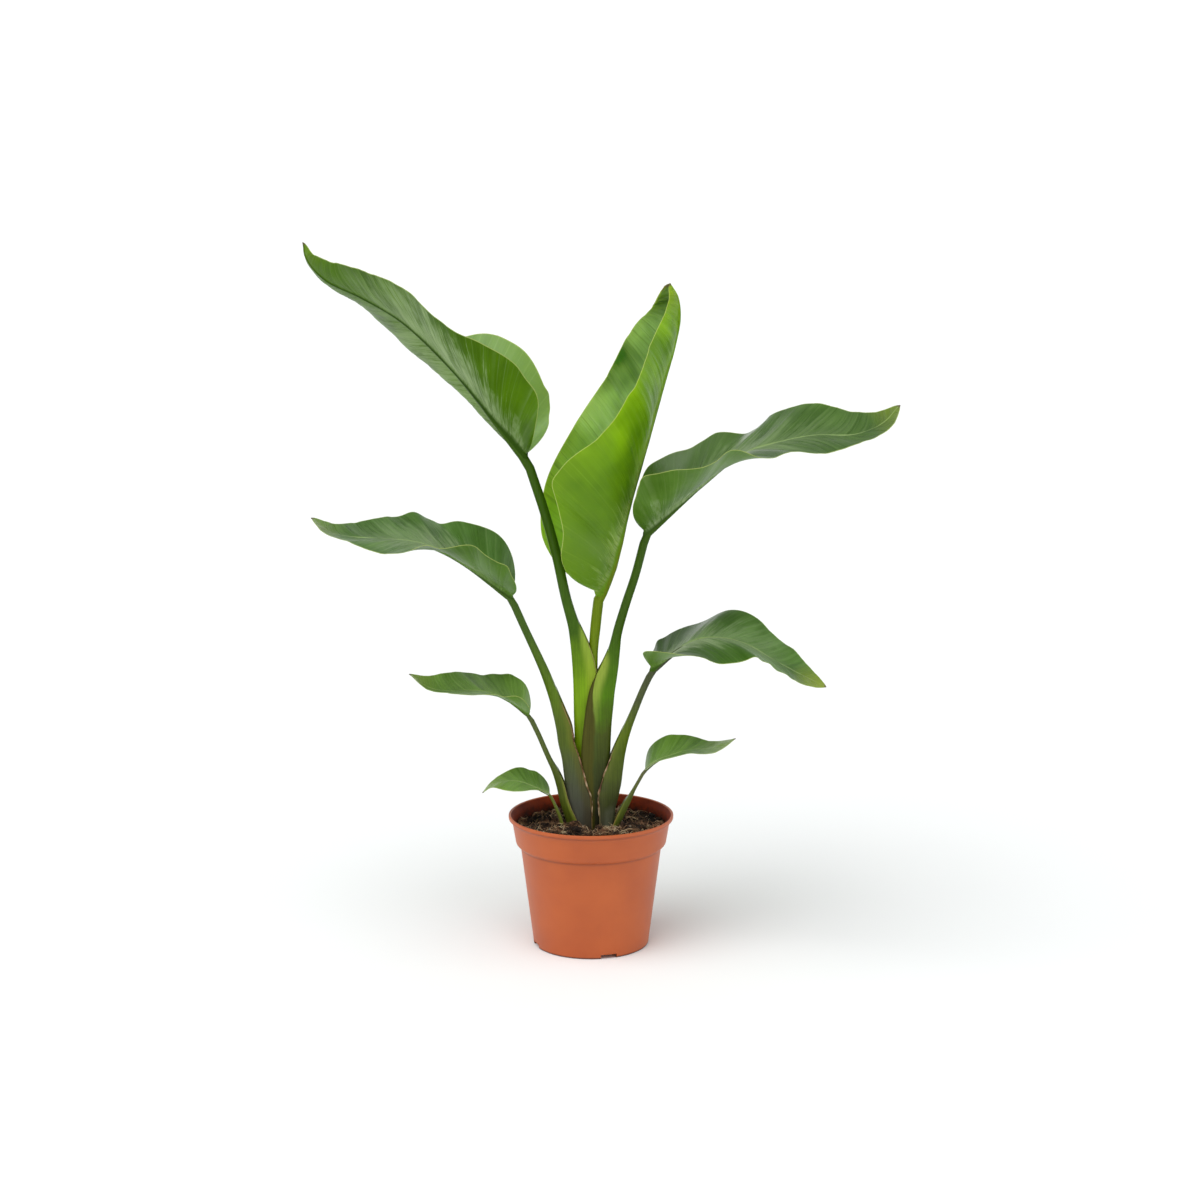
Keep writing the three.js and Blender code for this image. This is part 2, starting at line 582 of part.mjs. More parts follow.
// Rings of a tube that tapers along a path.
function tubeRings(path, radius, grow) {
  const frames = path.computeFrenetFrames(ROOT_STEPS, false);
  const rings = [];
  for (let i = 0; i <= ROOT_STEPS; i++) {
    const middle = path.getPointAt(i / ROOT_STEPS);
    const wide = radius * (1 - ROOT_TAPER * i / ROOT_STEPS) + grow;
    if (i === ROOT_STEPS) {
      middle.addScaledVector(frames.tangents[i], grow);
    }
    const ring = [];
    for (let k = 0; k < ROOT_SIDES; k++) {
      const angle = 2 * Math.PI * k / ROOT_SIDES;
      ring.push(middle.clone()
        .addScaledVector(frames.normals[i], wide * Math.cos(angle))
        .addScaledVector(frames.binormals[i], wide * Math.sin(angle)));
    }
    rings.push(ring);
  }
  return rings;
}

function rootstockSolid(grow = 0) {
  return rootShapes(grow).map(toSolid).reduce((whole, shape) => whole.add(shape));
}

// Potting soil: fills the pot and is cut round the rootstock and the stalks.
function soilGeometry() {
  const floor = PLATE_Z + WALL + GAP;
  const bodyTopZ = BAND_FOOT_Z - STEP_HEIGHT;
  const wide = innerRadius(bodyTopZ) - GAP;
  const bandSlope = (BAND_TOP_RADIUS - BAND_FOOT_RADIUS) / (POT_HEIGHT - LIP_HEIGHT - BAND_FOOT_Z);
  const topRadius = BAND_FOOT_RADIUS - WALL - GAP + bandSlope * (SOIL_Z - BAND_FOOT_Z);
  let soil = toSolid(lathe([
    [0, floor], [innerRadius(floor) - GAP, floor], [wide, bodyTopZ],
    [BAND_FOOT_RADIUS - WALL - GAP, BAND_FOOT_Z + GAP], [topRadius, SOIL_Z],
    [0.7 * topRadius, SOIL_Z + 0.4 * SOIL_HEAP], [0.4 * topRadius, SOIL_Z + SOIL_HEAP],
    [0, SOIL_Z + SOIL_HEAP],
  ]));
  soil = soil.subtract(rootstockSolid(GAP));
  for (const leaf of LEAVES) {
    soil = soil.subtract(toSolid(loft(stalkRings(leaf, GAP))));
  }
  return toGeometry(soil);
}

function node(name, geometry, finish) {
  const material = new THREE.MeshStandardMaterial(finish);
  const mesh = new THREE.Mesh(geometry, material);
  mesh.name = name;
  return mesh;
}

for (const leaf of LEAVES) {
  leaf.curve = new THREE.CatmullRomCurve3(leaf.midrib.map((p) => new THREE.Vector3(...p)));
}

const plant = new THREE.Group();
plant.add(node('pot', potGeometry(), PLASTIC));
plant.add(node('soil', soilGeometry(), SOIL));
plant.add(node('rootstock', toGeometry(rootstockSolid()), ROOT));
for (const leaf of LEAVES) {
  plant.add(node(leaf.name, leafGeometry(leaf), leaf.name === 'leaf_2' ? YOUNG_LEAF : LEAF));
}

const bounds = new THREE.Box3().setFromObject(plant);
const middle = bounds.getCenter(new THREE.Vector3());
plant.position.set(-middle.x, -middle.y, -bounds.min.z);

const group = new THREE.Group();
group.add(plant);
export default group;
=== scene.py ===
"""A young bird of paradise in a plastic nursery pot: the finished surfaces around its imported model."""

import math

import bmesh
import bpy
import numpy as np
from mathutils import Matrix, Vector, noise


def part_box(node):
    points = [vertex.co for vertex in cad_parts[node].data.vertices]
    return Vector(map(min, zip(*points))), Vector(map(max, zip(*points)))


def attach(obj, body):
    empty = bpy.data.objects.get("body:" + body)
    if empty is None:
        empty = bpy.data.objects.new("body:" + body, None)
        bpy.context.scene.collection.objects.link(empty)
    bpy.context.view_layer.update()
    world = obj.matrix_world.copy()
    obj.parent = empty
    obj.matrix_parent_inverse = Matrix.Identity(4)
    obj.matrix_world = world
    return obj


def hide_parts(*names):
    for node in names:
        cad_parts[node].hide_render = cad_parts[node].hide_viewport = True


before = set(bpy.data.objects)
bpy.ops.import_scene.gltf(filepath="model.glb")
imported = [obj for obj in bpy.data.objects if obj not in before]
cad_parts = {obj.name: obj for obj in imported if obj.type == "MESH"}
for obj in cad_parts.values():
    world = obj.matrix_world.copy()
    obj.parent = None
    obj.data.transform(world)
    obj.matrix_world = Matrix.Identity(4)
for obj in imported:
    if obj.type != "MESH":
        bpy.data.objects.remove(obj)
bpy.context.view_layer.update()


# Pot: a nursery pot, injection-moulded in polypropylene as one thin shell. It has a rolled lip, a wide
# band with a step under it, a tapered body, and a foot ring that is notched so that water can drain.

MM = 0.001
RIM_RADIUS = 85
POT_HEIGHT = 137
LIP_HEIGHT = 6.2
LIP_FLARE = 3.6
LIP_WIDTH = 2
LIP_STEP = 1.3
BAND_TOP_RADIUS = 81.3
BAND_FOOT_RADIUS = 77.5
BAND_FOOT_Z = 107.5
STEP_HEIGHT = 4
BODY_TOP_RADIUS = 72.7
FOOT_RADIUS = 59.6
FOOT_WIDTH = 3
WALL = 1.8
PLATE_Z = 3.4
HUB_RADIUS = 0.5
CORNER_RADII = [0.6, 0.4, 1, 1.2, 1.6, 4, 0.7, 0.7, 0.9, 0.8, 3, 4, 4, 3]
NOTCH_WIDTH = 17
NOTCH_DEPTH = 16
NOTCH_HEIGHT = 4.4
NOTCH_ANGLE = 18
NOTCHES = 4
DRAIN_RADIUS = 5
DRAIN_SHARE = 0.75
POT_SIDES = 180
LIP_RINGS = 6
SOIL_Z = 124

pot_low, pot_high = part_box("pot")
AXIS = np.array([(pot_low.x + pot_high.x) / 2, (pot_low.y + pot_high.y) / 2, 0])


def linear(code):
    """Linear colour, with alpha, from an sRGB hex value."""
    shares = [int(code[i : i + 2], 16) / 255 for i in (0, 2, 4)]
    return [c / 12.92 if c <= 0.04045 else ((c + 0.055) / 1.055) ** 2.4 for c in shares] + [1]


def plug(node, inputs):
    """Puts links, hex colours or values on a node's inputs, by their names or in their order."""
    for socket, value in inputs.items() if isinstance(inputs, dict) else enumerate(inputs):
        if isinstance(value, bpy.types.NodeSocket):
            node.id_data.links.new(value, node.inputs[socket])
        else:
            node.inputs[socket].default_value = linear(value) if isinstance(value, str) else value


def add(tree, kind, inputs=(), stops=(), out=0, **settings):
    """Adds a node with its settings, its colour stops and its inputs, and gives one of its outputs.

    stops holds the lowest and the highest one first, and then those between them. The inputs of a Map
    Range node are its value, the range that it maps from and the one that it maps to.
    """
    node = tree.nodes.new("ShaderNode" + kind)
    for name, value in settings.items():
        setattr(node, name, value)
    for i, (place, code) in enumerate(stops):
        stop = node.color_ramp.elements[i] if i < 2 else node.color_ramp.elements.new(place)
        stop.position = place
        stop.color = linear(code)
    plug(node, inputs)
    return node.outputs[out]


def per(size):
    """Scale of a pattern whose features are this many millimetres across."""
    return 1 / (size * MM)


def surface(name, ior, roughness, gloss=0.5):
    """A new material, its node tree and its shader."""
    made = bpy.data.materials.new(name)
    made.use_nodes = True
    shader = made.node_tree.nodes["Principled BSDF"]
    plug(shader, {"IOR": ior, "Roughness": roughness, "Specular IOR Level": gloss})
    return made, made.node_tree, shader


def grid_faces(rows, columns, closed=False):
    """Four-cornered faces between the points of a grid, which closed joins round along its rows."""
    i, j = np.meshgrid(np.arange(rows - 1), np.arange(columns if closed else columns - 1), indexing="ij")
    after = (j + 1) % columns
    corners = [i * columns + j, i * columns + after, (i + 1) * columns + after, (i + 1) * columns + j]
    return np.stack(corners, -1).reshape(-1, 4)


def put(name, data):
    """A new object with its data, in the scene."""
    made = bpy.data.objects.new(name, data)
    bpy.context.scene.collection.objects.link(made)
    return made


def turns(sides):
    """Evenly spaced angles round a circle."""
    return 2 * math.pi * np.arange(sides) / sides


def make_piece(name, points, faces, materials, slot, worn=None, marks=None):
    """A smooth mesh, in millimetres from the pot's axis, that stands with the pot.

    worn says which of the materials each face has, and marks holds named values for its points.
    """
    mesh = bpy.data.meshes.new(name)
    mesh.from_pydata((np.asarray(points) * MM + AXIS).tolist(), [], [list(map(int, f)) for f in faces])
    for material in materials:
        mesh.materials.append(material)
    if worn is not None:
        mesh.polygons.foreach_set("material_index", np.asarray(worn, np.int32))
    mesh.polygons.foreach_set("use_smooth", np.ones(len(mesh.polygons), bool))
    for mark, values in (marks or {}).items():
        kept = mesh.attributes.new(mark, "FLOAT", "POINT")
        kept.data.foreach_set("value", np.asarray(values, np.float32).ravel())
    mesh.update()
    made = put(name, mesh)
    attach(made, "root")
    return made


def rounded(profile, radii, steps=5):
    """A profile of (radius, height) points with its inner corners rounded, as moulded edges are."""
    course = [np.array(profile[0], float)]
    for before, corner, after, radius in zip(profile, profile[1:], profile[2:], radii):
        corner = np.array(corner, float)
        ways = [np.array(end, float) - corner for end in (before, after)]
        reach = [min(radius, 0.45 * np.linalg.norm(way)) for way in ways]
        a, b = (corner + way / np.linalg.norm(way) * far for way, far in zip(ways, reach))
        for w in np.linspace(0, 1, steps):
            course.append((1 - w) ** 2 * a + 2 * w * (1 - w) * corner + w**2 * b)
    course.append(np.array(profile[-1], float))
    return np.array(course)


def inner_radius(z):
    """Radius of the inside of the pot's body at a height."""
    return FOOT_RADIUS - WALL + (BODY_TOP_RADIUS - FOOT_RADIUS) * z / (BAND_FOOT_Z - STEP_HEIGHT)


lip_z = POT_HEIGHT - LIP_HEIGHT
flare_z = lip_z + LIP_FLARE / 2
body_top_z = BAND_FOOT_Z - STEP_HEIGHT
plate_top_z = PLATE_Z + WALL
outline = [
    (HUB_RADIUS, PLATE_Z), (FOOT_RADIUS - FOOT_WIDTH, PLATE_Z), (FOOT_RADIUS - FOOT_WIDTH, 0),
    (FOOT_RADIUS, 0), (BODY_TOP_RADIUS, body_top_z), (BAND_FOOT_RADIUS, BAND_FOOT_Z),
    (BAND_TOP_RADIUS, lip_z - 1), (RIM_RADIUS - LIP_STEP, flare_z), (RIM_RADIUS, flare_z + LIP_STEP / 2),
    (RIM_RADIUS, POT_HEIGHT), (RIM_RADIUS - LIP_WIDTH, POT_HEIGHT), (BAND_TOP_RADIUS - WALL, lip_z),
    (BAND_FOOT_RADIUS - WALL, BAND_FOOT_Z), (inner_radius(body_top_z), body_top_z),
    (inner_radius(plate_top_z), plate_top_z), (HUB_RADIUS, plate_top_z),
]
pot_profile = rounded(outline, CORNER_RADII)
pot_points = np.stack([
    np.outer(pot_profile[:, 0], np.cos(turns(POT_SIDES))),
    np.outer(pot_profile[:, 0], np.sin(turns(POT_SIDES))),
    np.outer(pot_profile[:, 1], np.ones(POT_SIDES)),
], -1).reshape(-1, 3)
rings = len(pot_profile)
pot_faces = grid_faces(rings, POT_SIDES, closed=True)[:, ::-1].tolist()
pot_faces.append(list(range(POT_SIDES)))
pot_faces.append(list(range(rings * POT_SIDES - 1, (rings - 1) * POT_SIDES - 1, -1)))

# Polypropylene is a soft, slightly waxy plastic: satin, with a broad dull highlight and the faint grain
# of the mould.
moulded_plastic, tree, shader = surface("moulded_polypropylene", ior=1.49, roughness=0.44, gloss=0.6)
place = add(tree, "TexCoord", out="Object")
cloud = add(tree, "TexNoise", {"Vector": place, "Scale": per(45.5), "Detail": 3})
plastic = add(tree, "ValToRGB", [cloud], [(0.3, "ac4c10"), (0.7, "b85618")])
# Painted shade darkens the plastic within 2.2 mm of the corners under the lip and under the band, and round
# the foot.
height = add(tree, "SeparateXYZ", [place], out="Z")
painted_corner_shade = 0
for corner_z in (0, body_top_z + 0.4, lip_z + 1.6):
    off = add(tree, "Math", [height, corner_z * MM], operation="SUBTRACT")
    away = add(tree, "Math", [off], operation="ABSOLUTE")
    near = add(tree, "MapRange", [away, 0.5 * MM, 2.2 * MM, 0.55, 0])
    painted_corner_shade = add(tree, "Math", [painted_corner_shade, near], operation="ADD")
corner_shaded = add(tree, "MixRGB", [painted_corner_shade, plastic, "7e3410"])
# The foot's lowest 2 mm are darkened as a painted contact shadow.
at_foot = add(tree, "MapRange", [height, 0.7 * MM, 2 * MM, 0.8, 0])
contact_shadowed = add(tree, "MixRGB", [at_foot, corner_shaded, "2c1a12"])
dull = add(tree, "MapRange", [cloud, 0, 1, 0.38, 0.5])
# The mould's grain is about 0.4 mm across, drawn at 1 mm so that it shows.
grain = add(tree, "TexNoise", {"Vector": place, "Scale": per(1), "Detail": 2})
bump = add(tree, "Bump", {"Height": grain, "Strength": 0.08, "Distance": 0.1 * MM})
plug(shader, {"Base Color": contact_shadowed, "Roughness": dull, "Normal": bump})

# Inside, water and soil have left a dull film. Its colour is darker than the outside's, as painted shade of
# the pot's inside, and painted shade darkens it further, in ragged patches, up to about 12 mm above the
# soil.
shade_painted_inner_plastic, tree, shader = surface("soil_filmed_shade_painted_polypropylene", ior=1.49, roughness=0.62, gloss=0.15)
place = add(tree, "TexCoord", out="Object")
cloud = add(tree, "TexNoise", {"Vector": place, "Scale": per(16.7), "Detail": 4})
shade_darkened_film = add(tree, "ValToRGB", [cloud], [(0.3, "6a2002"), (0.7, "8a3006")])
height = add(tree, "SeparateXYZ", [place], out="Z")
grime_and_shade_noise = add(tree, "TexNoise", {"Vector": place, "Scale": per(6.25), "Detail": 6, "Roughness": 0.7})
near_soil_share = add(tree, "MapRange", [height, (SOIL_Z - 2) * MM, (SOIL_Z + 12) * MM, 0.6, 0])
ragged_near_soil = add(tree, "Math", [near_soil_share, grime_and_shade_noise], operation="ADD")
painted_soil_shade = add(tree, "MapRange", [ragged_near_soil, 0.72, 1.1])
inner_shaded = add(tree, "MixRGB", [painted_soil_shade, shade_darkened_film, "2e140a"])
bump = add(tree, "Bump", {"Height": grime_and_shade_noise, "Strength": 0.3, "Distance": 0.2 * MM})
plug(shader, {"Base Color": inner_shaded, "Normal": bump})

inner_rings = np.arange(rings - 1) > np.argmax(pot_profile[:, 1] + pot_profile[:, 0]) + LIP_RINGS
pot_worn = [*np.repeat(inner_rings, POT_SIDES), 0, 1]
pot = make_piece("nursery_pot", pot_points, pot_faces, [moulded_plastic, shade_painted_inner_plastic], "pot", pot_worn)


def cut(made, cutter):
    """Cuts a closed bmesh out of a piece, and applies the cut to its mesh."""
    mesh = bpy.data.meshes.new("cutter")
    cutter.to_mesh(mesh)
    cutter.free()
    tool = put("cutter", mesh)
    made.modifiers.new("cut", "BOOLEAN").object = tool
    graph = bpy.context.evaluated_depsgraph_get()
    cut_mesh = bpy.data.meshes.new_from_object(made.evaluated_get(graph))
    made.modifiers.clear()
    made.data = cut_mesh
    bpy.data.objects.remove(tool)


for i in range(NOTCHES):
    angle = math.radians(NOTCH_ANGLE + 360 * i / NOTCHES)
    out = Vector((math.cos(angle), math.sin(angle), 0))
    notch = bmesh.new()
    bmesh.ops.create_cube(notch, size=1)
    notch_size = (NOTCH_DEPTH * MM, NOTCH_WIDTH * MM, 2 * NOTCH_HEIGHT * MM)
    bmesh.ops.scale(notch, vec=notch_size, verts=notch.verts)
    bmesh.ops.bevel(notch, geom=notch.edges, offset=0.5 * MM, segments=2, profile=0.5, affect="EDGES")
    bmesh.ops.rotate(notch, matrix=out.to_track_quat("X", "Z").to_matrix(), verts=notch.verts)
    bmesh.ops.translate(notch, vec=Vector(AXIS) + out * FOOT_RADIUS * MM, verts=notch.verts)
    cut(pot, notch)
    drain = bmesh.new()
    drain_size = dict(radius1=DRAIN_RADIUS * MM, radius2=DRAIN_RADIUS * MM, depth=6 * WALL * MM)
    bmesh.ops.create_cone(drain, cap_ends=True, segments=32, **drain_size)
    drain_place = Vector(AXIS) + out * DRAIN_SHARE * FOOT_RADIUS * MM + Vector((0, 0, PLATE_Z * MM))
    bmesh.ops.translate(drain, vec=drain_place, verts=drain.verts)
    cut(pot, drain)
pot.data.set_sharp_from_angle(angle=math.radians(35))
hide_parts("pot")


# Potting soil: moist peat with coconut fibre, bark crumbs and a few white grains of perlite. It fills the
# pot, lies uneven, and is a little higher round the stems.

SOIL_HEAP = 3
SOIL_ROUGHNESS = 4.6
LUMP_SIZE = 15
CLOD_SIZE = 10
SOIL_RINGS = 96
SOIL_SIDES = 300
GAP = 0.35
band_slope = (BAND_TOP_RADIUS - BAND_FOOT_RADIUS) / (lip_z - BAND_FOOT_Z)
SOIL_RADIUS = BAND_FOOT_RADIUS - WALL - GAP + band_slope * (SOIL_Z - BAND_FOOT_Z)
chance = np.random.default_rng(7)


def soil_height(x, y):
    """Height of the soil's surface, in millimetres."""
    share = min(math.hypot(x, y) / SOIL_RADIUS, 1)
    lumps = noise.fractal(Vector((x / LUMP_SIZE, y / LUMP_SIZE, 0.4)), 0.9, 2.1, 5)
    clods = noise.turbulence(Vector((x / CLOD_SIZE, y / CLOD_SIZE, 3.1)), 4, True)
    return SOIL_Z + SOIL_HEAP * (1 - share**2) + 0.4 + SOIL_ROUGHNESS * (0.7 * lumps - 1.3 * clods)


soil_points = []
for k in range(SOIL_RINGS):
    r = SOIL_RADIUS * (k + 0.02) / (SOIL_RINGS - 1 + 0.02)
    for turn in turns(SOIL_SIDES):
        x, y = r * math.cos(turn), r * math.sin(turn)
        soil_points.append((x, y, soil_height(x, y)))
soil_floor = plate_top_z + GAP
soil_foot = [
    (BAND_FOOT_RADIUS - WALL - GAP, BAND_FOOT_Z + GAP), (inner_radius(body_top_z) - GAP, body_top_z),
    (inner_radius(soil_floor) - GAP, soil_floor), (HUB_RADIUS, soil_floor),
]
for r, z in soil_foot:
    soil_points += [(r * math.cos(turn), r * math.sin(turn), z) for turn in turns(SOIL_SIDES)]
soil_rows = SOIL_RINGS + len(soil_foot)
soil_faces = grid_faces(soil_rows, SOIL_SIDES, closed=True).tolist()
soil_faces.append(list(range(SOIL_SIDES))[::-1])
soil_faces.append(list(range((soil_rows - 1) * SOIL_SIDES, soil_rows * SOIL_SIDES)))

# Moist peat is near black where it is wet and dull brown where its crumbs have dried, with no shine.
peat, tree, shader = surface("moist_peat", ior=1.4, roughness=0.95)
place = add(tree, "TexCoord", out="Object")
crumbs = add(tree, "TexNoise", {"Vector": place, "Scale": per(2.38), "Detail": 8, "Roughness": 0.75})
patches = add(tree, "TexNoise", {"Vector": place, "Scale": per(16.7), "Detail": 3})
hollows = add(tree, "TexNoise", {"Vector": place, "Scale": per(29.4), "Detail": 4, "Roughness": 0.6})
both = add(tree, "Math", [crumbs, patches], operation="ADD")
share = add(tree, "MapRange", [both, 0.8, 1.27])
browns = [(0, "0a0502"), (1, "d0aa84"), (0.42, "3c2612"), (0.72, "865e42")]
brown = add(tree, "ValToRGB", [share], browns)
wet = add(tree, "MapRange", [hollows, 0.42, 0.54, 0.85, 0])
damp = add(tree, "MixRGB", [wet, brown, "120a06"])
bump = add(tree, "Bump", {"Height": crumbs, "Strength": 0.9, "Distance": 1.2 * MM})
plug(shader, {"Base Color": damp, "Normal": bump})

soil = make_piece("soil_bed", soil_points, soil_faces, [peat], "soil")
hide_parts("soil")


def scatter(count, clear=0):
    """Random places on the soil, evenly over its round, clear of the edge by a distance."""
    far = (SOIL_RADIUS - clear) * np.sqrt(chance.random(count))
    turn = 2 * math.pi * chance.random(count)
    return np.stack([far * np.cos(turn), far * np.sin(turn)], -1)


def lumps_of(places, sizes, flatness, detail):
    """Points and faces of small uneven lumps that lie half sunk in the soil."""
    ball = bmesh.new()
    bmesh.ops.create_icosphere(ball, subdivisions=detail, radius=1)
    shape = np.array([v.co[:] for v in ball.verts])
    corners = np.array([[v.index for v in f.verts] for f in ball.faces])
    ball.free()
    points = []
    faces = []
    for n, ((x, y), size) in enumerate(zip(places, sizes)):
        uneven = 1 + 0.25 * chance.standard_normal((len(shape), 1)).clip(-1.5, 1.5)
        turn = np.linalg.qr(chance.standard_normal((3, 3)))[0]
        lump = shape * uneven * [1, 0.75, flatness] @ turn * size
        points.append(lump + [x, y, soil_height(x, y) + 0.25 * size])
        faces.append(corners + n * len(shape))
    return np.concatenate(points), np.concatenate(faces)


BIG_CRUMBS = 420
SMALL_CRUMBS = 1700
big_points, big_faces = lumps_of(scatter(BIG_CRUMBS, 4), 1.3 + 3.4 * chance.random(BIG_CRUMBS) ** 3, 0.7, 2)
fine_places = scatter(SMALL_CRUMBS, 1.5)
fine_sizes = 0.4 + 0.8 * chance.random(SMALL_CRUMBS)
fine_points, fine_faces = lumps_of(fine_places, fine_sizes, 0.8, 1)
crumb_points = np.concatenate([big_points, fine_points])
crumb_faces = np.concatenate([big_faces, fine_faces + len(big_points)])
make_piece("soil_crumbs", crumb_points, crumb_faces, [peat], "soil")

# Perlite is foamed volcanic glass: chalk-white grains that the peat has stained.
PERLITE_GRAINS = 46
perlite, tree, shader = surface("stained_perlite", ior=1.5, roughness=0.9)
place = add(tree, "TexCoord", out="Object")
stain = add(tree, "TexNoise", {"Vector": place, "Scale": per(3.33), "Detail": 4})
chalk = add(tree, "ValToRGB", [stain], [(0.35, "7c6a50"), (0.65, "d8d0bd")])
plug(shader, {"Base Color": chalk})
grain_places = scatter(PERLITE_GRAINS, 4)
grain_sizes = 0.5 + 0.6 * chance.random(PERLITE_GRAINS)
make_piece("soil_perlite", *lumps_of(grain_places, grain_sizes, 0.8, 2), [perlite], "soil")

# Coconut fibre is a stiff straw-brown hair, 0.3 mm thick, that lies every way on the soil.
FIBRES = 500
FIBRE_STEPS = 9


def unit(vectors):
    """The vectors made one long."""
    return vectors / np.linalg.norm(vectors, axis=-1, keepdims=True)


def strand(line, wide, thick, twist, level):
    """A closed strand along a line, with a four-cornered section that turns by twist from the level way."""
    line = np.array(line, float)
    onward = unit(np.gradient(line, axis=0))
    side = unit(np.cross(onward, level))
    up = np.cross(side, onward)
    c, s = np.cos(turns(4)) * wide, np.sin(turns(4)) * thick
    points = line[:, None] + side[:, None] * (c * np.cos(twist) - s * np.sin(twist))[..., None]
    points = points + up[:, None] * (c * np.sin(twist) + s * np.cos(twist))[..., None]
    faces = grid_faces(len(line), 4, closed=True).tolist()
    last = 4 * len(line)
    return points.reshape(-1, 3), [*faces, [3, 2, 1, 0], [last - 4, last - 3, last - 2, last - 1]]


def joined(strands):
    """Points and faces of several strands as one mesh."""
    all_points = []
    all_faces = []
    for points, faces in strands:
        start = sum(map(len, all_points))
        all_points.append(points)
        all_faces += [[start + corner for corner in face] for face in faces]
    return np.concatenate(all_points), all_faces


def fibre(x, y):
    """A bent fibre that lies on the soil from a place on, and turns back at the pot's wall."""
    heading = 2 * math.pi * chance.random()
    bend = 2.6 * (chance.random() - 0.5)
    length = 7 + 22 * chance.random()
    thick = 0.12 + 0.3 * chance.random() ** 2
    arch = 0.5 + 4.5 * chance.random() ** 2
    line = []
    for w in np.linspace(0, 1, FIBRE_STEPS):
        line.append((x, y, soil_height(x, y) + 0.6 + arch * math.sin(math.pi * w)))
        way = heading + bend * w
        step = length / (FIBRE_STEPS - 1)
        nx, ny = x + step * math.cos(way), y + step * math.sin(way)
        if math.hypot(nx, ny) > SOIL_RADIUS - 1:
            heading += 2
            nx, ny = 0.97 * x, 0.97 * y
        x, y = nx, ny
    return strand(line, thick, thick, np.zeros((FIBRE_STEPS, 1)), (0, 0, 1))


coir, tree, shader = surface("coconut_fibre", ior=1.5, roughness=0.7)
place = add(tree, "TexCoord", out="Object")
mixed = add(tree, "TexNoise", {"Vector": place, "Scale": per(11.1), "Detail": 2})
straw = add(tree, "ValToRGB", [mixed], [(0.35, "3c2818"), (0.65, "d8c09a"), (0.52, "946f4c")])
plug(shader, {"Base Color": straw})
make_piece("soil_fibres", *joined(fibre(x, y) for x, y in scatter(FIBRES, 6)), [coir], "soil")


# Rootstock: the short fleshy stub in the soil that the leaves grow from, with thick straw-coloured roots.
# It is hidden in the soil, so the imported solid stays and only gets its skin.

root_skin, tree, shader = surface("fleshy_root_skin", ior=1.4, roughness=0.75)
place = add(tree, "TexCoord", out="Object")
wrinkled = add(tree, "TexNoise", {"Vector": place, "Scale": per(4), "Detail": 5})
tan = add(tree, "ValToRGB", [wrinkled], [(0.3, "9a7748"), (0.7, "d3b487")])
bump = add(tree, "Bump", {"Height": wrinkled, "Strength": 0.5, "Distance": 0.5 * MM})
plug(shader, {"Base Color": tan, "Normal": bump})
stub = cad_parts["rootstock"]
stub.data.materials.clear()
stub.data.materials.append(root_skin)


# Leaves: each is one grown piece. A stalk, whose foot is a channel that clasps the younger stalks, runs on
# as the midrib of a thin waxy blade, which is folded along it, arched, and rippled by its side veins.

# side is -1 for a leaf that leans to -X. ridge is the midrib's height under the blade, clasp how deep the
# stalk's foot is hollowed, over its width, and pleated and swollen the depth of folds over the usual.
# midrib holds points from the blade's foot to its tip. near and far are its halves towards -Y and +Y:
# greatest width, lobe, turn, and the degrees that it rises from level at its foot and margin, at seven
# stations along it. Its waves are where along it the margin rises or falls, by how many millimetres, and
# over what share of its length. stalk rows are x, z, width, half depth and roundness.

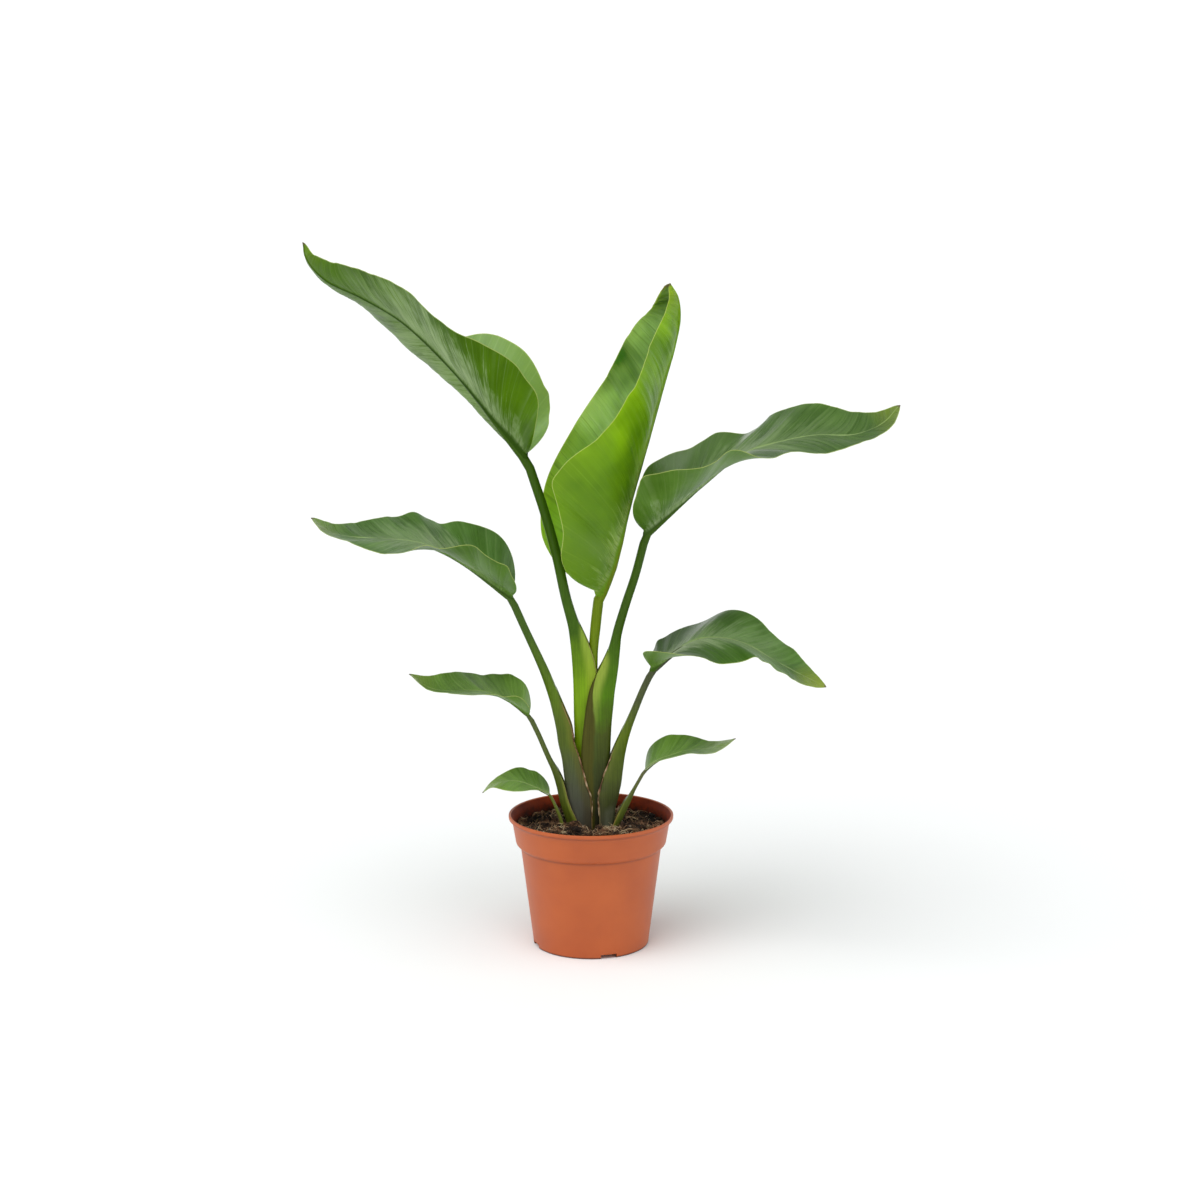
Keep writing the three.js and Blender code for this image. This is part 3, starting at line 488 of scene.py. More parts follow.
LEAVES = {
    "leaf_1": dict(
        side=-1, ridge=4.4, clasp=0.52, swollen=0.55,
        midrib=[(-66, 0, 509), (-91, 4, 539), (-137, 11, 594), (-189, 18, 642), (-229, 22, 665),
                (-266, 23, 683), (-283, 22, 703), (-286, 20, 719)],
        near=(90, 0.03, 1, [13, 31, 20, 12, 17, 21, 25], [37, 55, 40, 28, 33, 41, 45]),
        far=(106, 0.03, 2, [-30, -55, -60, -50, -38, -24, -20], [75, 100, 75, 20, 2, -2, -8]),
        near_waves=[(0.09, 5, 0.05), (0.18, -3, 0.04), (0.4, -3, 0.06), (0.58, 3.5, 0.08), (0.76, -1, 0.06)],
        far_waves=[(0.05, -2, 0.015), (0.11, 2, 0.02), (0.28, 10, 0.12), (0.41, 8, 0.06),
                   (0.55, -10, 0.1), (0.65, -4, 0.08)],
        stalk=[(-2.5, 108, 21, 6, 0.1), (-3, 150, 24, 6.3, 0.1), (-3.2, 200, 26.5, 6.4, 0.1),
               (-4, 240, 27, 6.5, 0.1), (-5, 270, 26, 6.6, 0.1), (-6.5, 288, 24.5, 6.3, 0.1),
               (-9.2, 305, 21.5, 6.2, 0.1), (-13.5, 322, 16.5, 6, 0.25), (-18.2, 338, 12, 5.6, 0.6),
               (-25, 362, 10.5, 5.2, 1), (-34.5, 406, 10, 5, 1), (-45.5, 447, 9.8, 4.9, 1),
               (-61, 495, 9.4, 4.7, 1)]),
    "leaf_2": dict(
        side=1, ridge=4.6, clasp=0, pleated=1.2, swollen=1.1,
        midrib=[(9, 0, 369), (21, 2, 397), (40, 4, 467), (57, 4, 526), (72, 4, 579), (83, 3, 618),
                (88, 2, 645), (86, 1, 665), (78, 0, 679)],
        near=(95, 0.045, 1, [30, 22, 36, 16, 10, 16, 21], [70, 62, 76, 48, 34, 40, 41]),
        far=(95, 0.045, 1, [60, 52, 43, 37, 35, 47, 60], [84, 80, 75, 65, 55, 67, 80]),
        near_waves=[(0.31, 4, 0.03), (0.62, 2, 0.05)],
        far_waves=[(0.25, 5, 0.12), (0.91, 1, 0.05), (0.975, 10, 0.032)],
        stalk=[(1, 108, 9, 4.6, 1), (1, 150, 9.4, 4.8, 1), (1, 200, 9.6, 4.8, 1), (1.5, 250, 9.6, 4.8, 1),
               (2.5, 305, 9.4, 4.7, 1), (5, 336, 10.6, 5, 1), (7.8, 361, 10.6, 5, 1)]),
    "leaf_3": dict(
        side=1, ridge=3.8, clasp=0.62,
        midrib=[(56, 0, 431), (77, -2, 450), (110, -5, 479), (149, -9, 510), (184, -12, 522),
                (223, -15, 530), (263, -16, 531), (290, -16, 542), (307, -15, 560)],
        near=(80, 0.03, 1, [28, 25, 12, 3, -3, 0, -13], [48, 49, 16, -7, -17, -10, -23]),
        far=(80, 0.03, 1, [30, 23, 12, 7, 18, 22, 21], [46, 43, 22, 7, 32, 32, 27]),
        near_waves=[(0.14, 6, 0.035), (0.42, 11, 0.05), (0.6, 6, 0.05), (0.73, -3, 0.05)],
        far_waves=[(0.13, 3, 0.04), (0.27, -3, 0.04), (0.37, 3, 0.03), (0.44, -3, 0.03), (0.55, 7, 0.05)],
        stalk=[(4.5, 108, 27, 9.4, 0.1), (4.5, 150, 29, 9.8, 0.1), (5, 200, 30, 9.8, 0.1),
               (5.8, 217, 29.5, 9.7, 0.1), (7.2, 234, 28.5, 9.3, 0.1), (9, 250, 28, 8.8, 0.1),
               (11.2, 265, 26.5, 8.2, 0.1), (16, 282, 22, 7.4, 0.1), (19.8, 294, 17.5, 6.4, 0.2),
               (23.8, 310, 12.3, 5.6, 0.6), (26.5, 325, 9.8, 5, 1), (34.3, 353, 9, 4.7, 1),
               (45.5, 388, 8.6, 4.4, 1), (53.5, 419, 8.6, 4.3, 1)]),
    "leaf_4": dict(
        side=-1, ridge=3.4, clasp=0.5,
        midrib=[(-81, 0, 365), (-110, -3, 387), (-145, -7, 410), (-176, -10, 422), (-212, -13, 426),
                (-242, -14, 428), (-262, -14, 433), (-280, -13, 447)],
        near=(66, 0.03, 1, [17, 20, 19, 7, 0, 6, 0], [33, 36, 19, -5, -14, 0, -8]),
        far=(66, 0.03, 1, [20, 29, 18, 14, 12, 10, 10], [28, 45, 30, 14, 20, 16, 16]),
        near_waves=[(0.13, 3, 0.03), (0.31, 6, 0.05), (0.48, 6, 0.05)],
        far_waves=[(0.41, -6, 0.04), (0.53, 6, 0.04)],
        stalk=[(-9, 108, 22, 10.8, 0.1), (-10.8, 135, 24.5, 11.2, 0.1), (-13, 156, 26, 11.2, 0.1),
               (-16, 170, 22, 10.9, 0.1), (-18.2, 183, 20.5, 10.7, 0.1), (-21.2, 198, 18.5, 10.2, 0.1),
               (-25.5, 214, 17, 9.4, 0.1), (-27.2, 226, 16.8, 8.8, 0.1), (-32, 243, 14, 8, 0.1),
               (-38.2, 262, 11, 6.6, 0.4), (-46.5, 285, 9.6, 5.2, 1), (-52.5, 299, 8.8, 4.6, 1),
               (-67, 331, 7.8, 4.2, 1), (-77.5, 355, 7.8, 4, 1)]),
    "leaf_5": dict(
        side=1, ridge=3.2, clasp=0.6,
        midrib=[(63, 0, 290), (86, 2, 308), (108, 5, 319), (134, 8, 320), (159, 11, 313), (188, 13, 296),
                (215, 14, 281), (242, 13, 268)],
        near=(58, 0.06, 1, [35, 3, -8, -2, 6, -2, -10], [55, -1, -24, -14, -2, -14, -22]),
        far=(58, 0.03, 1, [12, 12, 8, 23, 20, 21, 17], [8, 6, 2, 27, 24, 23, 17]),
        near_waves=[(0.54, 5, 0.04), (0.69, -3, 0.04)],
        far_waves=[(0.1, 3, 0.03), (0.8, 2, 0.05)],
        stalk=[(16, 108, 14, 8.8, 0.1), (16.8, 142, 16.5, 9, 0.1), (18.5, 158, 21, 9, 0.1),
               (20.5, 168, 21, 8.4, 0.1), (24.5, 185, 17.5, 7.2, 0.1), (28, 200, 14.5, 6.6, 0.15),
               (36, 224, 9.6, 5.6, 0.5), (45, 247, 7.6, 4.4, 1), (53.5, 268, 7, 3.9, 1),
               (59.5, 281, 7, 3.8, 1)]),
    "leaf_6": dict(
        side=-1, ridge=2, clasp=0.6,
        midrib=[(-64, 0, 242), (-83, 1, 256), (-103, 3, 264), (-126, 5, 266), (-148, 6, 265), (-167, 6, 269),
                (-186, 6, 283)],
        near=(38, 0.03, 1, [19, 19, 9, 8, 11, 8, 6], [29, 33, 9, 2, 7, 4, 6]),
        far=(38, 0.03, 1, [11, 26, 17, 14, 24, 23, 6], [19, 38, 23, 20, 32, 31, 8]),
        near_waves=[(0.22, -5, 0.05)],
        far_waves=[(0.27, 2, 0.04), (0.44, -2, 0.04)],
        stalk=[(-18.5, 108, 11, 9.6, 0.1), (-20, 129, 12, 9.8, 0.1), (-24.5, 142, 10.4, 9.2, 0.1),
               (-28, 153, 9.6, 8.2, 0.1), (-31.5, 168, 9, 7, 0.15), (-37, 183, 7, 5, 0.5),
               (-43.3, 196, 5.5, 3.2, 1), (-53.5, 220, 5.2, 2.7, 1), (-60.5, 235, 5.2, 2.6, 1)]),
    "leaf_7": dict(
        side=1, ridge=1.6, clasp=0.4,
        midrib=[(56, 0, 184), (67, -1, 193), (83, -3, 200), (102, -5, 206), (124, -6, 208), (148, -6, 218)],
        near=(30, 0.03, 1, [6, 7, 9, 8, 4, 0, 0], [14, 15, 9, 2, -2, -6, -4]),
        far=(30, 0.03, 1, [4, 22, 25, 13, 7, 2, -4], [12, 32, 34, 22, 11, 2, -12]),
        near_waves=[(0.5, 1, 0.08)],
        far_waves=[(0.4, -1, 0.06)],
        stalk=[(23.8, 108, 7, 5.6, 0.2), (26, 124, 7, 5.8, 0.2), (30.5, 135, 7.4, 5.6, 0.2),
               (35.2, 145, 7, 5, 0.3), (40, 154, 5.4, 4, 0.6), (44.5, 163, 3.8, 2.6, 1),
               (50, 173, 3.5, 2.1, 1), (53, 178.5, 3.5, 2, 1)]),
    "leaf_8": dict(
        side=-1, ridge=1.4, clasp=0.2,
        midrib=[(-43, 0, 158), (-58, 0, 165), (-74, 0, 171), (-89, 0, 171), (-103, 0, 166), (-112, 0, 159)],
        near=(24, 0.03, 1, [4, 10, -1, -8, -8, 3, 3], [8, 14, -7, -18, -16, 7, 7]),
        far=(24, 0.03, 1, [8, 20, 24, 18, 10, 6, 2], [16, 28, 33, 28, 16, 10, 2]),
        near_waves=[(0.3, 1, 0.06)],
        far_waves=[(0.36, -2, 0.06)],
        stalk=[(-29, 108, 3.6, 4, 0.3), (-29.5, 122, 3.6, 4.2, 0.3), (-32, 133, 3.6, 4, 0.4),
               (-35.5, 142, 3.4, 3.2, 0.7), (-38.5, 149, 3.1, 2.5, 1), (-41, 154, 3, 2.1, 1)]),
}
FOOT_POWER = 0.42
TIP_POWER = 0.75
VEIN_SWEEP = 1.7
VEIN_ARCH = 0.85
LOBE_SPAN = 0.25
BEND_STEPS = 12
CURVE_STEPS = 40
MIDRIB_STEPS = 200


def cubic(a, b, leave, arrive, w):
    """Value at share w of the way from a to b, which leaves and arrives at two slopes."""
    return a + leave * w + (3 * (b - a) - 2 * leave - arrive) * w**2 + (2 * (a - b) + leave + arrive) * w**3


def curve_through(knots):
    """Points at even steps along the smooth curve through some points, and the curve's length."""
    knots = np.asarray(knots, float)
    all_knots = np.stack([2 * knots[0] - knots[1], *knots, 2 * knots[-1] - knots[-2]])
    w = np.linspace(0, 1, CURVE_STEPS, endpoint=False)[:, None]
    course = []
    for before, a, b, after in zip(all_knots, all_knots[1:], all_knots[2:], all_knots[3:]):
        gaps = [np.linalg.norm(q - p) ** 0.5 for p, q in ((before, a), (a, b), (b, after))]
        leave = ((a - before) / gaps[0] - (b - before) / (gaps[0] + gaps[1]) + (b - a) / gaps[1]) * gaps[1]
        arrive = ((b - a) / gaps[1] - (after - a) / (gaps[1] + gaps[2]) + (after - b) / gaps[2]) * gaps[1]
        course.append(cubic(a, b, leave, arrive, w))
    course = np.concatenate([*course, knots[-1:]])
    run = np.concatenate([[0], np.cumsum(np.linalg.norm(np.diff(course, axis=0), axis=1))])
    even = np.linspace(0, run[-1], MIDRIB_STEPS + 1)
    return np.stack([np.interp(even, run, course[:, k]) for k in range(3)], -1), run[-1]


def along(values, s):
    """Value at share s of the way along evenly spaced values, joined by a smooth curve."""
    values = np.asarray(values, float)
    padded = np.concatenate([[2 * values[0] - values[1]], values, [2 * values[-1] - values[-2]]])
    x = np.clip(s, 0, 1) * (len(values) - 1)
    i = np.minimum(x.astype(int), len(values) - 2)
    w = x - i
    a, b, c, d = padded[i], padded[i + 1], padded[i + 2], padded[i + 3]
    return b + 0.5 * w * (c - a + w * (2 * a - 5 * b + 4 * c - d + w * (3 * (b - c) + d - a)))


def on_midrib(values, s):
    """Rows of values, kept at even steps along a midrib, at shares s of its length."""
    x = np.clip(s, 0, 1) * (len(values) - 1)
    i = np.minimum(x.astype(int), len(values) - 2)
    w = (x - i)[..., None]
    return values[i] * (1 - w) + values[i + 1] * w


def flat_point(half, t, v):
    """Shares along the midrib of a point and of its margin, and the half's width there over its greatest."""
    lobe = half[1]
    xi = (1 - np.cos(np.pi * t)) / 2
    whole = FOOT_POWER + TIP_POWER
    peak = whole**whole / (FOOT_POWER**FOOT_POWER * TIP_POWER**TIP_POWER)
    margin = xi - lobe * np.sin(np.pi * np.minimum(xi / LOBE_SPAN, 1))
    vein_foot = xi**VEIN_SWEEP
    place = vein_foot + (margin - vein_foot) * v**VEIN_ARCH
    return place, margin, peak * xi**FOOT_POWER * (1 - xi) ** TIP_POWER


def blade_surface(leaf, half, sign, t, v):
    """Points of the middle of a blade. t runs from foot to tip, and v from midrib to margin."""
    width, _, turn, foot, margin = half
    place, margin_place, wide = flat_point(half, t, v)
    start = along(foot, margin_place)
    rise = along(margin, margin_place) - start
    aside = np.zeros(t.shape)
    up = np.zeros(t.shape)
    for i in range(BEND_STEPS):
        angle = np.radians(start + rise * (1 - (1 - v * (i + 0.5) / BEND_STEPS) ** turn))
        aside += width * wide * v / BEND_STEPS * np.cos(angle)
        up += width * wide * v / BEND_STEPS * np.sin(angle)
    back = (np.minimum(place, 0) * leaf["length"])[..., None]
    points = on_midrib(leaf["line"], place) + on_midrib(leaf["tangent"], place) * back
    points = points + sign * on_midrib(leaf["across"], place) * aside[..., None]
    return points + on_midrib(leaf["up"], place) * up[..., None]


def face_normals(points, towards):
    """Unit normals of a grid of points, on the side of some given directions."""
    normals = unit(np.cross(np.gradient(points, axis=0), np.gradient(points, axis=1)))
    return normals * np.sign(np.mean(np.sum(normals * towards, -1)))


for leaf in LEAVES.values():
    leaf["line"], leaf["length"] = curve_through(leaf["midrib"])
    leaf["tangent"] = unit(np.gradient(leaf["line"], axis=0))
    leaf["across"] = unit(np.array([0, 1, 0]) - leaf["tangent"][:, 1:2] * leaf["tangent"])
    leaf["up"] = -leaf["side"] * np.cross(leaf["across"], leaf["tangent"])

# The side veins leave the midrib at a sharp angle, every few millimetres, and lift the blade into shallow
# pleats between them. Wider swells cross it too, and its thin margin ripples. PLEATS holds how many of them
# there are to a side vein, SWELLS and RIPPLES how many side veins each one spans, and how strong they are.
BLADE_THICKNESS = 0.7
MARGIN_THICKNESS = 0.35
BLADE_ENDS = (0.012, 0.988)
RIDGE_TAPER = 0.8
RIDGE_SHARES = [0.3, 0.6, 0.85, 1.1, 1.5]
RIDGE_FOOT_SHARE = 0.35
RIDGE_LIMIT = 0.55
GROOVE_SHARE = 0.12
ROW_STEP = 1.15
COLUMN_STEP = 4
FEWEST_COLUMNS = 8
VEIN_GAP = 2.2
VEIN_GAP_SHARE = 0.062
PLEATS = [(1, 0.5), (2, 0.16), (0.37, 0.4)]
PLEAT_SHARE = 0.0042
SWELLS = [(6.1, 0.6), (10.3, 0.8)]
SWELL_SHARE = 0.018
RIPPLES = [(2.9, 0.55), (4.7, 0.8)]
RIPPLE_SHARE = 0.004


def half_blade(leaf, key, sign, t, ridge, columns):
    """The middle of half a blade: its points, their shares of the way to the margin, and its width."""
    half = leaf[key]
    _, margin_place, wide_share = flat_point(half, t, 0 * t)
    wide = half[0] * wide_share
    edge = np.minimum(RIDGE_SHARES[-1] * ridge / wide, RIDGE_LIMIT)
    over_ridge = edge * np.array(RIDGE_SHARES) / RIDGE_SHARES[-1]
    outward = np.sin(np.pi / 2 * np.arange(1, columns + 1) / columns) ** 1.2
    v = np.concatenate([over_ridge, edge + (1 - edge) * outward], 1)
    points = blade_surface(leaf, half, sign, t + 0 * v, v)
    wave = sum(up * np.exp(-(((margin_place - at) / span) ** 2)) for at, up, span in leaf[key + "_waves"])
    points = points + on_midrib(leaf["up"], margin_place + 0 * v) * (wave * v**1.6)[..., None]
    return points, v, wide + 0 * v


def fold_lift(leaf, vein, vein_foot, v, far_half, phase):
    """How far pleats, swells and ripples lift a blade off its smooth middle, in millimetres."""
    arch = np.sin(np.pi * np.clip(v, 0, 1) ** 0.8)
    pleat = sum(size * (1 - 2 * np.abs(np.sin(np.pi * vein * many)) ** 0.7) for many, size in PLEATS)
    creases = [vein / gap + p + 0.4 * far_half for (gap, _), p in zip(SWELLS, phase[1:])]
    swell = sum(s * (1 - 2 * np.abs(np.sin(np.pi * at)) ** 0.85) for (_, s), at in zip(SWELLS, creases))
    crests = [vein / gap + p + 0.3 * far_half for (gap, _), p in zip(RIPPLES, phase[4:])]
    ripple = sum(s * np.sin(2 * np.pi * at) for (_, s), at in zip(RIPPLES, crests))
    pleated = PLEAT_SHARE * leaf.get("pleated", 1)
    swollen = SWELL_SHARE * leaf.get("swollen", 1)
    lift = pleated * arch**0.7 * pleat + swollen * arch * swell + RIPPLE_SHARE * v**4 * ripple
    fade = np.sin(np.pi * np.clip(vein_foot, 0, 1)) ** 0.4
    return fade * leaf["near"][0] * lift


def sheet_faces(upper, normals):
    """Faces of a closed sheet, upper side first, then underside and edge, and what each of them wears."""
    rows, columns = upper.shape[:2]
    shift = rows * columns
    top = grid_faces(rows, columns)
    if np.cross(upper[0, 1] - upper[0, 0], upper[1, 0] - upper[0, 0]) @ normals[0, 0] < 0:
        top = top[:, ::-1]
    bottom = top[:, ::-1] + shift
    grid = np.arange(shift).reshape(rows, columns)
    rim = [*grid[:, 0], *grid[-1, 1:], *grid[-2::-1, -1], *grid[0, -2:0:-1]]
    wall = [(a, b, b + shift, a + shift) for a, b in zip(rim, rim[1:] + rim[:1])]
    first = top[0].tolist()
    if (rim[0], rim[1]) in zip(first, first[1:] + first[:1]):
        wall = [face[::-1] for face in wall]
    return [*top.tolist(), *bottom.tolist(), *wall], [0] * len(top) + [1] * (len(bottom) + len(wall))


def blade_mesh(name, leaf, waxy, bloomed_with_sheen):
    """A blade as one closed sheet: its upper face, its underside with the midrib's ridge, and its margin."""
    width = leaf["near"][0]
    t = np.linspace(*BLADE_ENDS, int(leaf["length"] / ROW_STEP))[:, None]
    vein_foot = flat_point(leaf["near"], t, 0 * t)[0]
    ridge = leaf["ridge"] * (1 - RIDGE_TAPER * vein_foot)
    columns = max(int(width / COLUMN_STEP), FEWEST_COLUMNS)
    near, near_v, near_wide = half_blade(leaf, "near", -1, t, ridge, columns)
    far, far_v, far_wide = half_blade(leaf, "far", 1, t, ridge, columns)
    middle = blade_surface(leaf, leaf["near"], -1, t, 0 * t)
    points = np.concatenate([near[:, ::-1], middle, far], 1)
    v = np.concatenate([near_v[:, ::-1], 0 * t, far_v], 1)
    wide = np.concatenate([near_wide[:, ::-1], near_wide[:, :1], far_wide], 1)
    far_half = np.arange(v.shape[1]) > near.shape[1]
    # The side veins are unevenly spaced, and those of the far half start between those of the near one.
    phase = chance.random(9)
    count = vein_foot * leaf["length"] / (VEIN_GAP + VEIN_GAP_SHARE * width)
    vein = count + 0.22 * np.sin(1.7 * count + 6 * phase[0]) + 0.15 * np.sin(4.3 * count) + 0.5 * far_half
    ups = on_midrib(leaf["up"], vein_foot) + 0 * points
    lift = fold_lift(leaf, vein, vein_foot, v, far_half, phase)
    points = points + face_normals(points, ups) * lift[..., None]
    normals = face_normals(points, ups)
    thick = BLADE_THICKNESS + (MARGIN_THICKNESS - BLADE_THICKNESS) * v**2
    from_rib = v * wide
    rib_share = np.clip(from_rib / (RIDGE_SHARES[-1] * ridge), 0, 1)
    keel = ridge * (1 + RIDGE_FOOT_SHARE * np.exp(-vein / 3)) * (1 - rib_share**2) ** 1.3
    groove = GROOVE_SHARE * ridge * (1 - rib_share**2) ** 2
    upper = points + normals * (thick / 2 - groove)[..., None]
    lower = points - normals * (thick / 2 + keel)[..., None]
    faces, worn = sheet_faces(upper, normals)
    from_tip = (1 - flat_point(leaf["near"], t, v)[0]) * leaf["length"]
    marks = {
        "from_rib": from_rib * MM, "from_margin": (1 - v) * wide * MM, "from_tip": from_tip * MM,
        "vein": vein, "ridge": ridge * (1 + 0.8 * np.exp(-vein / 2.5)) * MM, "far_half": far_half + 0 * v,
    }
    marks = {mark: np.tile(values.ravel(), 2) for mark, values in marks.items()}
    both = np.concatenate([upper.reshape(-1, 3), lower.reshape(-1, 3)])
    made = make_piece(f"{name}_blade", both, faces, [waxy, bloomed_with_sheen], leaf["slot"], worn, marks)
    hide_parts(name)


LANES_PER_VEIN = 0.9
THREADS_PER_VEIN = 5
LANE_REACH = 111


def veined_green(tree, vein, lanes, patches, greens, foot, veins, line_share, streaks):
    """The green of a blade with its side veins drawn on it, and the lines of those veins."""
    patchy = add(tree, "Math", [patches, 2 - streaks], operation="MULTIPLY")
    both = add(tree, "Math", [lanes, streaks, patchy], operation="MULTIPLY_ADD")
    tone = add(tree, "MapRange", [both, 0.75, 1.25])
    green = add(tree, "MixRGB", [tone, *greens])
    # Where a skin has a foot colour, it takes over the blade's first side veins. On the old and grown upper
    # faces it is painted light, a lighter green where the foot lies in shade among the other leaves.
    if foot:
        at_foot = add(tree, "MapRange", [vein, 3, 14, 0.85, 0])
        green = add(tree, "MixRGB", [at_foot, green, foot])
    # A side vein is a line about 0.5 mm wide, with three fainter ones between it and the next. It is pale,
    # except on the young upper face, where the dark line is painted shade in the vein's groove.
    lines = []
    for gap, inner, outer, share in ((0.5, 0.02, 0.085, line_share), (0.125, 0.01, 0.05, line_share / 3)):
        off = add(tree, "Math", [vein, gap], operation="PINGPONG")
        drawn = add(tree, "MapRange", [off, inner, outer, share, 0], interpolation_type="SMOOTHSTEP")
        lines.append(drawn)
    lined = add(tree, "Math", lines, operation="MAXIMUM")
    strong = add(tree, "MapRange", [lanes, 0.4, 0.65, 0.1, 1])
    vein_share = add(tree, "Math", [lined, strong], operation="MULTIPLY")
    return add(tree, "MixRGB", [vein_share, green, veins]), lined


def bloom_and_sheen_cover(tree, vein, from_rib, lanes, lane_place, patches, bloom_and_sheen_share, reach, foot_bloom_and_sheen):
    """How much wax bloom and painted sheen lie beside the midrib, from where they fade outward in streaks
    along the veins.
    """
    threads = {"Vector": lane_place, "Scale": THREADS_PER_VEIN, "Detail": 3, "Roughness": 0.6}
    two = add(tree, "Math", [lanes, add(tree, "TexNoise", threads)], operation="ADD")
    streak = add(tree, "MapRange", [two, 0.7, 1.3, -1, 1])
    narrow, wide = 30 * MM * reach, 80 * MM * reach
    uneven_reach = add(tree, "MapRange", [patches, 0.35, 0.65, narrow, wide])
    foot_share, widens, whole = foot_bloom_and_sheen
    off_foot = add(tree, "MapRange", [vein, widens, whole, foot_share, 1])
    far = add(tree, "Math", [uneven_reach, off_foot], operation="MULTIPLY")
    spread = add(tree, "MapRange", [from_rib, 0, far, 1, -0.3], clamp=False)
    streaked = add(tree, "Math", [spread, streak], operation="ADD")
    return add(tree, "MapRange", [streaked, 0, 1.1, 0, bloom_and_sheen_share])


def blade_skin(
    name, greens, veins, line_share, bloom_and_sheen, bloom_and_sheen_share, rib, roughness, gloss, reach=1, far_share=1,
    foot=None, foot_bloom_and_sheen=(0.15, 2, 15), tip_bare=(40, 180), tip=0.4, rib_wide=1, streaks=1,
):
    """The skin of one face of a blade: a satin, waxy cuticle, pale near the midrib with wax bloom and
    painted sheen.

    reach is how far the bloom and painted sheen reach out, over the usual, and far_share how much of them
    the far half has. foot_bloom_and_sheen is the share of that reach at the blade's foot, and the side veins
    where it starts to widen and is whole. tip_bare is how many millimetres from the tip the bloom and sheen
    start and are whole, and tip how much the tip has yellowed. streaks is how much of the tone follows the
    veins. The rest of it lies in broad patches.
    """
    made, tree, shader = surface(name, ior=1.45, roughness=roughness, gloss=gloss)
    place = add(tree, "TexCoord", out="Object")
    vein, from_rib, from_margin, from_tip, ridge, far_half = (
        add(tree, "Attribute", attribute_name=mark, out="Fac")
        for mark in ("vein", "from_rib", "from_margin", "from_tip", "ridge", "far_half")
    )
    # The strips between side veins, one vein gap wide, differ in tone and run the whole way to the margin.
    outward = add(tree, "Math", [from_rib, per(LANE_REACH)], operation="MULTIPLY")
    lane_place = add(tree, "CombineXYZ", [vein, outward])
    lane_noise = {"Vector": lane_place, "Scale": LANES_PER_VEIN, "Detail": 6, "Roughness": 0.7}
    lanes = add(tree, "TexNoise", lane_noise)
    patches = add(tree, "TexNoise", {"Vector": place, "Scale": per(58.8), "Detail": 2})
    veined, lined = veined_green(tree, vein, lanes, patches, greens, foot, veins, line_share, streaks)
    cover = bloom_and_sheen_cover(tree, vein, from_rib, lanes, lane_place, patches, bloom_and_sheen_share, reach, foot_bloom_and_sheen)
    off_tip = add(tree, "MapRange", [from_tip, tip_bare[0] * MM, tip_bare[1] * MM])
    kept = add(tree, "MapRange", [far_half, 0, 1, 1, far_share])
    left = add(tree, "Math", [off_tip, kept], operation="MULTIPLY")
    share = add(tree, "Math", [cover, left], operation="MULTIPLY")
    bloomed_with_sheen = add(tree, "MixRGB", [share, veined, bloom_and_sheen])
    # The midrib has its own colour: a pale line on the upper faces, and on the undersides a dark green band
    # that is partly the stalk's own green and partly painted shade under the ridge.
    rib_inner = add(tree, "Math", [ridge, 0.5 * rib_wide], operation="MULTIPLY")
    rib_outer = add(tree, "Math", [ridge, rib_wide], operation="MULTIPLY")
    at_rib = [from_rib, rib_inner, rib_outer, 1, 0]
    near_rib = add(tree, "MapRange", at_rib, interpolation_type="SMOOTHSTEP")
    ribbed = add(tree, "MixRGB", [near_rib, bloomed_with_sheen, rib])
    # The margin is a thickened pale line, about 0.6 mm wide. The tip yellows, and its very end has dried.
    at_margin = add(tree, "MapRange", [from_margin, 0.35 * MM, 0.8 * MM, 0.8, 0])
    edged = add(tree, "MixRGB", [at_margin, ribbed, "a9b866"])
    uneven = add(tree, "MapRange", [patches, 0.3, 0.7, -8 * MM, 8 * MM])
    tip_place = add(tree, "Math", [from_tip, uneven], operation="ADD")
    tip_share = add(tree, "MapRange", [tip_place, 0, 35 * MM, tip, 0])
    yellowed = add(tree, "MixRGB", [tip_share, edged, "98ac2c"])
    dry_share = add(tree, "MapRange", [from_tip, 1 * MM, 3 * MM, 0.9, 0])
    dried = add(tree, "MixRGB", [dry_share, yellowed, "5c4a34"])
    # Its wrinkles follow the veins and are deepest near the midrib, and the finest grain is about 1 mm.
    satin = add(tree, "MapRange", [lanes, 0.3, 0.7, roughness - 0.06, roughness + 0.06])
    grain = add(tree, "TexNoise", {"Vector": place, "Scale": per(1.11), "Detail": 2})
    fine = add(tree, "Math", [lined, grain], operation="ADD")
    faint = add(tree, "Math", [fine, 0.03], operation="MULTIPLY")
    depth = add(tree, "MapRange", [from_rib, 4 * MM, 40 * MM, 1, 0.35])
    wrinkles = add(tree, "Math", [lanes, depth], operation="MULTIPLY")
    relief = add(tree, "Math", [wrinkles, faint], operation="ADD")
    bump = add(tree, "Bump", {"Height": relief, "Strength": 0.8, "Distance": 2.4 * MM})
    plug(shader, {"Base Color": dried, "Roughness": satin, "Normal": bump})
    return made


old_skins = (
    blade_skin(
        "waxy_old_leaf_upper", ("2c4e06", "486c20"), "86a060", 0.2, "93aa76", 0.5, "86a060", 0.3, 0.42,
        foot="5a7a38", foot_bloom_and_sheen=(0.6, 2, 15)),
    blade_skin(
        "bloomed_sheen_painted_old_leaf_underside", ("3e620c", "5c822c"), "8fa46c", 0.25, "b4c49c", 0.45, "33500c",
        0.4, 0.15, reach=0.6, foot_bloom_and_sheen=(1, 2, 15)),
)
shaded_skins = (
    blade_skin(
        "waxy_shaded_leaf_upper", ("325608", "5c843c"), "8fa86a", 0.25, "a4b688", 0.75, "8fa86a",
        0.3, 0.34, reach=1.4),
    blade_skin(
        "bloomed_sheen_painted_shaded_leaf_underside", ("3c600c", "5a802c"), "8fa46c", 0.25, "98ac76", 0.3, "33500c",
        0.4, 0.12),
)
